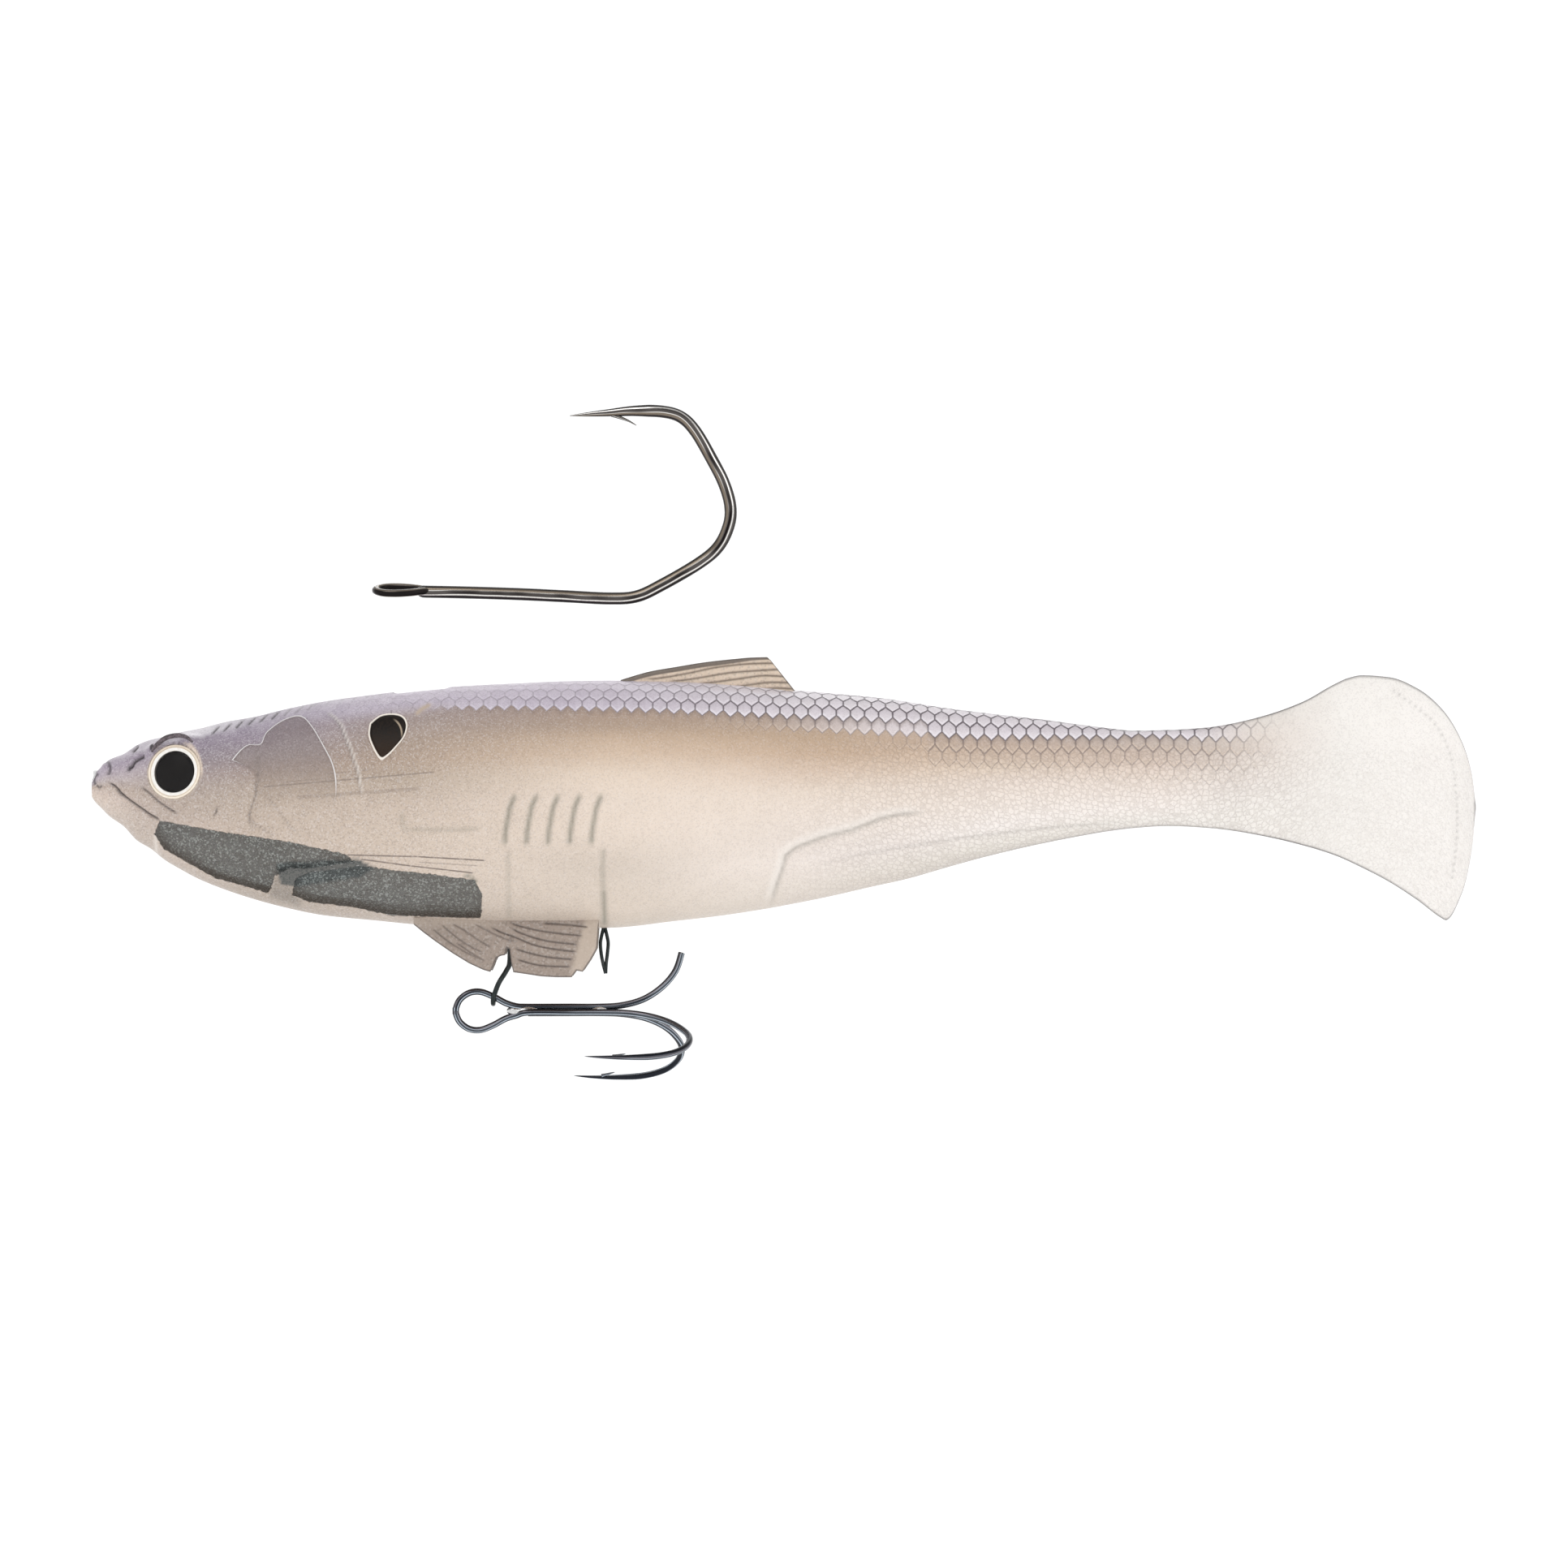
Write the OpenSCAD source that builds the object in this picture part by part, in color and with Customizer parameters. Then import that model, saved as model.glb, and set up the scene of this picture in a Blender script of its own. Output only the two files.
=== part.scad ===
// Soft-plastic swimbait, eight-inch class, with its single hook lifted out
// above the back and its treble hook on the front belly hanger.
// Frame: origin on the axis of the line bore at the nose, +X from nose to
// tail, +Z towards the back, +Y the fish's right side.

/* [Body] */
// Extra half-width of the whole body, in mm
body_fatness = 0; // [-0.5:0.1:0.5]
// Points round each body section
body_facets = 28; // [20:4:32]
// Squareness of the upper half of a section (2 is an ellipse)
back_round = 2.1; // [1.8:0.1:2.4]
// Squareness of the lower half of a section
belly_round = 1.9; // [1.7:0.1:2.2]

/* [Line tube] */
// Radius of the hole that the fishing line runs through
line_bore_r = 0.75; // [0.6:0.05:0.85]
// Outer radius of the clear liner
line_tube_r = 1.15; // [1.1:0.05:1.25]

/* [Hook slot] */
// Width of the slot in the back where the hook's bend passes
slot_w = 2.4; // [2.3:0.1:2.6]
// Width of the slot's front, where the hook's eye passes
eye_slot_w = 5.0; // [4.9:0.1:5.4]

/* [Hooks] */
// Wire radius of the single hook
hook_r = 0.9; // [0.8:0.05:0.95]
// Wire radius of the treble hook
treble_r = 0.48; // [0.4:0.02:0.5]
// How far the treble hook is rolled about its shank
treble_roll = 7.3; // [0:0.1:10]
// How far the treble hook is turned about the vertical
treble_yaw = 4.3; // [0:0.1:5]

/* [Fins] */
// Thickness of a dorsal fin blade
dorsal_t = 0.8; // [0.6:0.1:1]
// Thickness of a pelvic fin
pelvic_t = 0.8; // [0.6:0.1:1]
// Outward lean of the pelvic fins
pelvic_splay = 18; // [14:1:22]

/* [Eyes] */
// Radius of the pearl ring
eye_r = 3.64; // [3.4:0.02:3.7]
// Radius of the pupil
pupil_r = 3.0; // [2.8:0.05:3.1]

/* [Hidden] */

gap = 0.3;          // running gap between the flexing segments
flex1_x = 112;      // bend behind the dorsal fin
flex2_x = 138;      // bend in the tail stem
flex3_x = 160;      // bend at the root of the tail fin
flex1_r = 7.7;
flex2_r = 4.4;
flex3_r = 2.2;

// Height of the back and of the belly, and half-width, along the fish
back_z = [[-0.5, -0.3], [0, 0.8], [0.8, 1.6], [2, 2.7], [4, 3.5], [6, 4.8], [8, 5.6],
          [10, 6], [12, 6.6], [15, 7.2], [19, 8.2], [23, 8.9], [27.5, 10],
          [33, 11.1], [41, 12.2], [46, 12.8], [53, 13.4], [61, 13.8],
          [68, 14.1], [75, 14.2], [84, 14.1], [90, 13.8], [96, 13.3],
          [101.5, 12.7], [105, 12.4], [112.5, 11.7], [117, 11.1],
          [124, 10], [128, 9.5], [136, 8.6], [142, 7.8], [146, 7.3],
          [150, 6.9], [155, 7], [161, 7.4], [163, 7.7], [169, 9.1],
          [174.5, 11.1], [179, 13.6], [181, 14.5], [183, 14.9], [187, 14.6],
          [191, 13], [194.5, 10.1], [197.4, 5.4], [198.9, 0.4],
          [199.4, -3.6]];
belly_z = [[-0.5, -2.8], [0, -3.5], [0.8, -4.3], [2, -5.5], [4, -6.9], [6, -9], [8, -10.2],
           [10, -11.8], [12, -13], [15, -14.6], [19, -16.2], [23, -17.5],
           [27.5, -18.7], [33, -19.8], [41, -20.6], [46, -21.1],
           [53, -21.5], [61, -21.7], [68, -21.7], [74.5, -21.6],
           [84, -20.6], [90, -19.9], [96, -19], [101.5, -18], [105, -17.3],
           [112.5, -15.6], [117, -14.6], [124, -12.6], [128, -11.5],
           [136, -9.6], [142, -8.4], [146, -7.7], [150, -7.2], [155, -6.9],
           [161, -7.2], [163, -7.4], [169, -8.4], [174.5, -9.7],
           [179, -11.1], [183, -12.9], [187, -15], [191, -17.6],
           [194.5, -20.2], [195.1, -20.5], [197.4, -16.7], [198.9, -10.1],
           [199.4, -4.8]];
half_w = [[-0.5, 1.3], [0.8, 2.4], [2, 3.3], [4, 4.4], [6, 5.3], [8, 6.1],
          [10, 6.8], [12, 7.4], [15, 8.1], [19, 8.9], [23, 9.6],
          [27.5, 10.3], [33, 11], [41, 11.8], [50, 12.3], [60, 12.5],
          [70, 12.4], [80, 12], [90, 11.1], [100, 9.9], [110, 8.6],
          [120, 7.2], [130, 5.9], [140, 4.7], [150, 3.6], [156, 2.9],
          [162, 2.2], [168, 1.7], [175, 1.4], [185, 1.3], [191, 1.5],
          [194, 1.6], [197, 1.3], [199.4, 0.6]];

trunk_x = [-0.5, 0, 0.8, 2, 4, 6, 8, 10, 12, 15, 19, 23, 27.5, 33, 37, 41, 46,
           53, 61, 68, 75, 84, 90, 96, 101.5, 105, 109];
rear_x = [103, 105, 109, 112.5, 117, 124, 128, 132, 136, 138];
stem_x = [132, 134, 136, 139, 142, 146, 150, 155, 159];
fin_x = [157, 159, 161, 163, 166, 169, 172, 174.5, 177, 179, 181, 183, 185, 187,
         189, 191, 193, 194.5, 195.1, 196, 197.4, 198.2, 198.9, 199.4];

// ---- shared shapes -------------------------------------------------------

function pw(v, e) = sign(v) * pow(abs(v), e);

// One section of the fish at x, grown outwards by d
function section(x, d, n) =
    let (zt = lookup(x, back_z) + d, zb = lookup(x, belly_z) - d,
         w = lookup(x, half_w) + d + min(body_fatness, lookup(x, half_w) / 8),
         zm = zt - 0.42 * (zt - zb))
    [for (i = [0:n - 1])
        let (a = 360 * (i + 0.5) / n, c = cos(a), s = sin(a),
             m = s >= 0 ? back_round : belly_round)
        [x, w * pw(c, 2 / m),
         zm + (s >= 0 ? zt - zm : zm - zb) * pw(s, 2 / m)]];

// A closed skin through the sections at the given stations
module fish(xs, d = 0, n = body_facets) {
    m = len(xs);
    polyhedron(
        points = [for (x = xs) for (p = section(x, d, n)) p],
        faces = concat(
            [[for (i = [0:n - 1]) i]],
            [for (k = [0:m - 2]) for (i = [0:n - 1])
                let (a = k * n + i, b = k * n + (i + 1) % n)
                [a, a + n, b + n, b]],
            [[for (i = [n - 1:-1:0]) (m - 1) * n + i]]),
        convexity = 6);
}

// A flat shape drawn in X and Z, as thick as t across Y
module side_plate(points, t) {
    translate([0, t / 2, 0]) rotate([90, 0, 0]) linear_extrude(t)
        polygon(points);
}

function unit(v) = v / norm(v);
function tangents(p) = [for (i = [0:len(p) - 1])
    unit(p[min(i + 1, len(p) - 1)] - p[max(i - 1, 0)])];
function across(n, t) = unit(n - (n * t) * t);
function frames(t, n0) =
    [for (i = 0, n = across(n0, t[0]); i < len(t);
          i = i + 1, n = i < len(t) ? across(n, t[i]) : n) n];
// A smooth curve through the points p, k steps a span
function smooth(p, k) = concat(
    [for (i = [0:len(p) - 2]) for (j = [0:k - 1])
        let (a = p[max(i - 1, 0)], b = p[i], c = p[i + 1],
             d = p[min(i + 2, len(p) - 1)], t = j / k)
        0.5 * (2 * b + (c - a) * t + (2 * a - 5 * b + 4 * c - d) * t * t
               + (3 * b - a - 3 * c + d) * t * t * t)],
    [p[len(p) - 1]]);

// Round wire along a path. r is one radius, or a list with one a point
module wire(path, r, n = 8, n0 = [0, 1, 0]) {
    t = tangents(path);
    f = frames(t, n0);
    m = len(path);
    polyhedron(
        points = [for (i = [0:m - 1])
            let (b = cross(t[i], f[i]), q = is_list(r) ? r[i] : r)
            for (j = [0:n - 1])
                path[i] + q * (cos(360 * j / n) * f[i] + sin(360 * j / n) * b)],
        faces = concat(
            [[for (j = [0:n - 1]) j]],
            [for (i = [0:m - 2]) for (j = [0:n - 1])
                let (a = i * n + j, b = i * n + (j + 1) % n)
                [a, a + n, b + n, b]],
            [[for (j = [n - 1:-1:0]) (m - 1) * n + j]]),
        convexity = 8);
}

module flip(side) { if (side < 0) mirror([0, 1, 0]) children(); else children(); }

// ---- the soft body -------------------------------------------------------

// The slot's outline in X and Z: a slanted front wall that the hook's eye
// slides down, a floor under the shank, and a rise behind the bend
slot_outline = [[42.0, 20], [45.9, -10.5], [86, -10.5], [90, -9.3], [95, -6.3],
                [98.6, -3.6], [100.4, 0.5], [100.6, 20]];
eye_slot_outline = [[41.9, 20], [45.8, -10.5], [55.6, -10.5], [49.6, 20]];

module eye_place(side) {
    flip(side) translate([11.75, 6.7, 0.94]) rotate([-80, 0, 17]) children();
}

spot_outline = [[-2.6, -1.9], [-1.2, -3.3], [0.6, -3.6], [2.2, -3.0],
                [2.9, -1.4], [2.5, 0.6], [1.2, 2.4], [0, 3.6], [-0.9, 3.9],
                [-1.9, 2.4], [-2.7, 0.2]];
module spot_place(side) {
    flip(side) translate([42.5, 9.75, 6.3]) rotate([-61, 0, 2]) children();
}

module trunk_outer() {
    fish(trunk_x);
}

module trunk() {
    color([0.86, 0.80, 0.77]) difference() {
        trunk_outer();
        // seat of the first bend
        translate([flex1_x, 0, -30]) cylinder(r = flex1_r + gap, h = 60, $fn = 64);
        translate([flex1_x - 3.6, -20, -30]) cube([20, 40, 60]);
        // line tube
        translate([-2, 0, 0]) rotate([0, 90, 0])
            cylinder(r = line_tube_r, h = 48, $fn = 48);
        // hook slot, wider where the eye goes down, and the keeper's pocket
        side_plate(slot_outline, slot_w);
        side_plate(eye_slot_outline, eye_slot_w);
        translate([58.4, -5.1, -11]) cube([18.4, 10.2, 10]);
        // channels for the hanger's legs
        translate([59.2, -2.0, -26]) cube([1.3, 4.0, 16]);
        translate([72.8, -0.6, -26]) cube([1.4, 1.2, 16]);
        // eye sockets and shoulder spots
        for (s = [-1, 1]) {
            eye_place(s) translate([0, 0, -1.75])
                cylinder(r = eye_r + 0.1, h = 8, $fn = 48);
            spot_place(s) translate([0, 0, -1.2]) linear_extrude(8)
                polygon(spot_outline);
        }
        // pockets of the weights
        throat_weight_solid();
        belly_weight_solid();
        weight_plate_solid();
    }
}

module knuckle(x, r) {
    translate([x, 0, -30]) cylinder(r = r, h = 60, $fn = 64);
}

module body_rear() {
    color([0.87, 0.81, 0.77]) difference() {
        fish(rear_x);
        difference() {
            translate([90, -20, -30]) cube([flex1_x - 90, 40, 60]);
            knuckle(flex1_x, flex1_r);
        }
        knuckle(flex2_x, flex2_r + gap);
        translate([flex2_x - 2.8, -20, -30]) cube([20, 40, 60]);
    }
}

module tail_stem() {
    color([0.90, 0.85, 0.82]) difference() {
        fish(stem_x);
        difference() {
            translate([120, -20, -30]) cube([flex2_x - 120, 40, 60]);
            knuckle(flex2_x, flex2_r);
        }
        knuckle(flex3_x, flex3_r + gap);
        translate([flex3_x - 1.9, -20, -30]) cube([20, 40, 60]);
    }
}

module tail_fin() {
    color([0.93, 0.92, 0.90]) difference() {
        fish(fin_x);
        difference() {
            translate([150, -20, -30]) cube([flex3_x - 150, 40, 60]);
            knuckle(flex3_x, flex3_r);
        }
    }
}

// ---- fins ----------------------------------------------------------------

// Each blade starts 0.4 mm above the back and stands beside the slot
dorsal_outline = [[76.6, 14.75], [80, 15.4], [88, 16.6], [97.1, 17.5],
                  [97.6, 17.2], [101.2, 13.4], [97, 13.75], [90, 14.3],
                  [84, 14.6]];
module dorsal_fin(side) {
    color([0.72, 0.64, 0.56])
        translate([0, side * (1.25 + dorsal_t / 2), 0])
            side_plate(dorsal_outline, dorsal_t);
}
module dorsal_fin_left() { dorsal_fin(-1); }
module dorsal_fin_right() { dorsal_fin(1); }

// Outline below the root line, with the notch for the front hanger
pelvic_outline = [[46.8, 0.4], [49.5, -3.2], [53, -5.3], [56.9, -7.2],
                  [57.6, -6.7], [58.9, -4.8], [59.4, -3.4], [60.1, -3.5],
                  [60.3, -7.0], [64.6, -7.7], [68.9, -7.8], [69.6, -6.6],
                  [72.1, -4.1], [73, -0.05], [68, -0.15], [60, -0.15],
                  [53, 0.1]];
module pelvic_fin(side) {
    color([0.80, 0.72, 0.64]) flip(side)
        translate([0, 3.6, -20.9]) rotate([pelvic_splay, 0, 0])
            side_plate(pelvic_outline, pelvic_t);
}
module pelvic_fin_left() { pelvic_fin(-1); }
module pelvic_fin_right() { pelvic_fin(1); }

// ---- head pieces ---------------------------------------------------------

gill_outline = [[20.1, 2.6], [22.4, 4.8], [24.2, 4.9], [25.1, 6.6],
                [27.4, 8.3], [29.9, 8.9], [31.7, 7.4], [33.7, 4.2],
                [34.8, 2], [35.3, -0.4], [35.2, -3.2], [34.2, -5.6],
                [32, -7.4], [28, -8.2], [24, -8], [22.9, -6], [23.2, -2],
                [22.6, 1]];
module gill_plate(side) {
    color([0.80, 0.78, 0.78]) difference() {
        intersection() {
            translate([0, side * 15, 0]) side_plate(gill_outline, 24);
            fish([19, 23, 27.5, 33, 37], 0.25);
        }
        trunk_outer();
    }
}
module gill_plate_left() { gill_plate(-1); }
module gill_plate_right() { gill_plate(1); }

module eye_ring(side) {
    color([0.93, 0.90, 0.84]) eye_place(side) difference() {
        translate([0, 0, -1.7]) cylinder(r = eye_r, h = 1.7, $fn = 48);
        translate([0, 0, -1.0]) cylinder(r = pupil_r + 0.02, h = 3, $fn = 48);
    }
}
module eye_ring_left() { eye_ring(-1); }
module eye_ring_right() { eye_ring(1); }

module pupil(side) {
    color([0.05, 0.05, 0.05]) eye_place(side)
        translate([0, 0, -1.0]) cylinder(r = pupil_r, h = 0.98, $fn = 48);
}
module pupil_left() { pupil(-1); }
module pupil_right() { pupil(1); }

dome_h = 1.1;
dome_r = (eye_r * eye_r + dome_h * dome_h) / (2 * dome_h);
module eye_dome(side) {
    color([0.9, 0.92, 0.95, 0.4]) eye_place(side) intersection() {
        translate([0, 0, dome_h - dome_r]) sphere(r = dome_r, $fn = 96);
        cylinder(r = eye_r - 0.01, h = 4, $fn = 48);
    }
}
module eye_dome_left() { eye_dome(-1); }
module eye_dome_right() { eye_dome(1); }

module shoulder_spot(side) {
    color([0.17, 0.13, 0.10]) spot_place(side) translate([0, 0, -1.2])
        linear_extrude(0.8) polygon(spot_outline);
}
module shoulder_spot_left() { shoulder_spot(-1); }
module shoulder_spot_right() { shoulder_spot(1); }

// ---- inside pieces -------------------------------------------------------

weight_x = [6, 8, 10, 12, 15, 19, 23, 27.5, 33, 41, 46, 53, 58];
throat_outline = [[8.7, -8], [9.6, -6.1], [20.6, -8], [28.3, -9.1],
                  [36.6, -10.9], [38, -12], [31, -13], [28.3, -12.9],
                  [26.2, -14.1], [25.7, -16.2], [25.1, -17.2],
                  [24, -16.7], [17.4, -14.8], [10, -10.6]];
module throat_weight_solid() {
    intersection() {
        side_plate(throat_outline, 26);
        fish(weight_x, -0.9, 20);
    }
}
module throat_weight() { color([0.40, 0.42, 0.42]) throat_weight_solid(); }

belly_outline = [[29.2, -14.4], [31.5, -13.5], [38.5, -12.6], [48.3, -13.7],
                 [55, -14.6], [56.1, -16.7], [55.8, -20.2], [52.3, -20.1],
                 [42.9, -19.8], [37.5, -18.6], [31, -17.8], [28.6, -16.8]];
module belly_weight_solid() {
    intersection() {
        side_plate(belly_outline, 26);
        fish(weight_x, -0.9, 20);
    }
}
module belly_weight() { color([0.40, 0.42, 0.42]) belly_weight_solid(); }

module weight_plate_solid() {
    intersection() {
        side_plate([[38.4, -11.2], [56.5, -11.8], [56.4, -13.9], [55, -14.4],
                    [48.3, -13.5], [38.6, -12.4]], 26);
        fish(weight_x, -1.5, 20);
    }
}
module weight_plate() { color([0.75, 0.73, 0.70]) weight_plate_solid(); }

module line_tube() {
    color([0.85, 0.88, 0.90]) difference() {
        translate([-0.3, 0, 0]) rotate([0, 90, 0])
            cylinder(r = line_tube_r, h = 44.6, $fn = 48);
        translate([-1, 0, 0]) rotate([0, 90, 0])
            cylinder(r = line_bore_r, h = 50, $fn = 48);
    }
}

// Stainless wire: a row of open turns that grips the hook's shank, a bail
// down through the belly in front and a narrow closed loop behind
wire_r = 0.35;
turn_pitch = 3.2;
turn_lean = 2.6;
turns = 5;
keeper = [for (k = [0:turns - 1])
    let (x = 60.3 + k * turn_pitch, s = k % 2 == 0 ? 1 : -1)
    for (p = [[turn_lean, 4.1, -2.2], [turn_lean * 0.7, 4.25, -4.6],
              [turn_lean * 0.25, 4.1, -8.2], [0, 3.0, -10.0],
              [0, 0, -10.45],
              [0, -3.0, -10.0], [turn_lean * 0.25, -4.1, -8.2],
              [turn_lean * 0.7, -4.25, -4.6], [turn_lean, -4.1, -2.2]])
        [x + p[0], s * p[1], p[2]]];
bail = [for (s = [1, -1]) for (p = s > 0
    ? [[0, 1.3, -10.3], [0, 1.3, -16], [0, 1.3, -22], [0, 1.3, -26.4],
       [-0.5, 1.3, -27.8], [-1.6, 1.3, -29.6], [-2.3, 1.3, -31.5],
       [-2.4, 0.95, -32.35], [-2.4, 0, -32.6]]
    : [[-2.4, -0.95, -32.35], [-2.3, -1.3, -31.5], [-1.6, -1.3, -29.6],
       [-0.5, -1.3, -27.8], [0, -1.3, -26.4], [0, -1.3, -22],
       [0, -1.3, -16], [0, -1.3, -10.3]]) [59.85 + p[0], p[1], p[2]]];
module hanger_wire() {
    color([0.16, 0.17, 0.18]) {
        wire(smooth(keeper, 2), wire_r);
        wire(smooth(bail, 2), wire_r);
        for (s = [-1, 1])
            wire(smooth([[73.5, 0, -10.2], [73.5, 0, -16], [73.5 + s * 0.1, 0, -20.6],
                         [73.5 + s * 0.5, 0, -23], [73.5 + s * 0.52, 0, -24.6],
                         [73.6 + s * 0.15, 0, -26.6], [73.75, 0, -28.2]], 2),
                 0.26);
    }
}

// ---- hooks ---------------------------------------------------------------

hook_line = [[46.4, 0, 27.0], [54, 0, 26.85], [61.7, 0, 26.6], [68, 0, 26.3],
             [74.3, 0, 26.0], [78.2, 0, 26.3], [81.9, 0, 28.0],
             [87.2, 0, 31.1], [90.0, 0, 33.5], [91.5, 0, 36.6],
             [91.7, 0, 39.4], [90.8, 0, 42.6], [89.1, 0, 46.0],
             [86.7, 0, 50.1], [84.6, 0, 52.2], [81.9, 0, 53.0],
             [77.9, 0, 53.1], [73.8, 0, 52.8], [68.5, 0, 52.4]];
hook_path = smooth(hook_line, 3);
function hook_rad(p) = p[2] > 50 && p[0] < 80
    ? max(0.06, hook_r * pow((p[0] - 68.3) / 11.7, 0.75)) : hook_r;
eye_side = [[39.95, -0.35, 0], [40.2, 0.75, 0], [41.3, 1.65, 0], [43.2, 1.8, 0],
            [45.1, 1.35, 0], [46.8, 0.6, 0], [48.6, 0.25, 0]];
module single_hook() {
    color([0.30, 0.31, 0.33]) {
        wire(hook_path, [for (p = hook_path) hook_rad(p)], 10);
        translate([0.55, 0, 27.2]) rotate([16, 0, 0]) for (s = [-1, 1])
            wire(smooth([for (p = eye_side) [p[0], s * p[1], p[2]]], 2), 0.55, 8,
                 [0, 0, 1]);
        side_plate([[74.2, 52.75], [77.2, 52.9], [78.1, 51.1], [76.2, 51.9]],
                   0.6);
    }
}

// The treble is drawn along X from its eye, about the axis of the shank,
// with one prong straight up, then rolled, turned and put in place
function prong(a, q) = [for (p = q) [p[0], p[1] * sin(a), p[1] * cos(a)]];
bundle = 0.57;
prong_line = [[62.5, bundle], [68, bundle], [73, bundle], [76.2, 0.8],
              [79.3, 1.7], [82, 3.5], [84, 6.0], [85.2, 9.0], [84.9, 12],
              [83.1, 14.6], [80, 16.1], [76, 16.5], [72.5, 16.4],
              [69.85, 16.1]];
upper_line = [[62.5, bundle], [68, bundle], [73, bundle], [76.2, 0.8],
              [79.3, 1.7], [82, 3.5], [83.9, 5.8], [84.8, 8.4]];
eye_line = [[52.03, 0, -0.5], [52.1, 0, 0.5], [52.7, 0, 1.7], [54, 0, 2.6],
            [55.6, 0, 2.75], [57.4, 0, 2.1], [59.2, 0, 1.15], [60.8, 0, 0.65]];
function treble_rad(p, far) = far && norm([p[1], p[2]]) > 13 && p[0] < 79
    ? max(0.05, treble_r * pow((p[0] - 69.7) / 9.3, 0.7)) : treble_r;

module treble_place() {
    translate([57.45, 0, -33.6]) rotate([0, 0, treble_yaw])
        translate([-57.45, 0, 0]) children();
}
module barb(a) {
    rotate([-a, 0, 0]) side_plate([[73.2, 16.4], [75, 16.4], [75.7, 15.3],
                                   [74.4, 15.9]], 0.4);
}
module treble_double_hook() {
    up = smooth(concat(eye_line, prong(treble_roll, upper_line)), 2);
    low = smooth(concat([for (p = eye_line) [p[0], p[1], -p[2]]],
                        prong(treble_roll - 120, prong_line)), 2);
    color([0.22, 0.25, 0.29]) treble_place() {
        wire(up, [for (p = up) treble_rad(p, false)]);
        wire(low, [for (p = low) treble_rad(p, true)]);
        barb(treble_roll - 120);
    }
}
module treble_third_hook() {
    far = smooth(prong(treble_roll + 120, prong_line), 2);
    color([0.22, 0.25, 0.29]) treble_place() {
        wire(far, [for (p = far) treble_rad(p, true)]);
        barb(treble_roll + 120);
    }
}
module treble_braze() {
    color([0.62, 0.64, 0.66]) treble_place() rotate([0, 90, 0]) {
        translate([0, 0, 61.4]) cylinder(r = 0.62, h = 2.2, $fn = 24);
        translate([0, 0, 63.6]) cylinder(r = 0.35, h = 8.6, $fn = 24);
        translate([0, 0, 72.2]) cylinder(r = 0.62, h = 1.6, $fn = 24);
    }
}

trunk();
body_rear();
tail_stem();
tail_fin();
dorsal_fin_left();
dorsal_fin_right();
pelvic_fin_left();
pelvic_fin_right();
gill_plate_left();
gill_plate_right();
eye_ring_left();
eye_ring_right();
pupil_left();
pupil_right();
eye_dome_left();
eye_dome_right();
shoulder_spot_left();
shoulder_spot_right();
throat_weight();
belly_weight();
weight_plate();
line_tube();
hanger_wire();
single_hook();
treble_double_hook();
treble_third_hook();
treble_braze();
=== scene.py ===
"""Soft-plastic swimbait: the looks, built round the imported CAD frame."""
import math

import bpy
import numpy as np
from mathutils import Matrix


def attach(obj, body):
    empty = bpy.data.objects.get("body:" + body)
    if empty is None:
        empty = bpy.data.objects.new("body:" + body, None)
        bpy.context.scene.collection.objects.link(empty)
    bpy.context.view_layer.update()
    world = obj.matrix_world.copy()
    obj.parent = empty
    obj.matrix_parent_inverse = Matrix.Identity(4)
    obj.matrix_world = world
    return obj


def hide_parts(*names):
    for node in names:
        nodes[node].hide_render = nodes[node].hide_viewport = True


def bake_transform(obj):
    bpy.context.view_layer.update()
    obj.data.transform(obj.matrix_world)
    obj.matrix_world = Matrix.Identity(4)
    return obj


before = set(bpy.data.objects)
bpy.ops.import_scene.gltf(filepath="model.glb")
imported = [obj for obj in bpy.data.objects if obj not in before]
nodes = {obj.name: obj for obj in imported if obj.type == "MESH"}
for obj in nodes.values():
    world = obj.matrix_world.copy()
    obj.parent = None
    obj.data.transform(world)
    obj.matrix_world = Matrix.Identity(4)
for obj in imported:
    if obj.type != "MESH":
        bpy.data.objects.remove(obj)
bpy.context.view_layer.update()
MM = 0.001
scene = bpy.context.scene


# ---- small helpers ---------------------------------------------------------

def lin(rgb):
    """sRGB 0-255 to scene linear."""
    c = np.asarray(rgb, float) / 255.0
    return np.where(c <= 0.04045, c / 12.92, ((c + 0.055) / 1.055) ** 2.4)


def lin4(rgb):
    return (*[float(v) for v in lin(rgb)], 1.0)


def smooth(e0, e1, x):
    t = np.clip((np.asarray(x, float) - e0) / (e1 - e0), 0, 1)
    return t * t * (3 - 2 * t)


def pchip(table):
    """A smooth curve through the points that never overshoots them."""
    t = np.array(table, float)
    x, y = t[:, 0], t[:, 1]
    h = np.diff(x)
    d = np.diff(y) / h
    m = np.zeros(len(x))
    for i in range(1, len(x) - 1):
        if d[i - 1] * d[i] > 0:
            w1, w2 = 2 * h[i] + h[i - 1], h[i] + 2 * h[i - 1]
            m[i] = (w1 + w2) / (w1 / d[i - 1] + w2 / d[i])
    m[0], m[-1] = d[0], d[-1]

    def f(q):
        q = np.clip(np.asarray(q, float), x[0], x[-1])
        i = np.clip(np.searchsorted(x, q, side="right") - 1, 0, len(x) - 2)
        s = (q - x[i]) / h[i]
        return ((1 + 2 * s) * (1 - s) ** 2 * y[i] + s * (1 - s) ** 2 * h[i] * m[i]
                + s * s * (3 - 2 * s) * y[i + 1] + s * s * (s - 1) * h[i] * m[i + 1])
    return f


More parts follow.
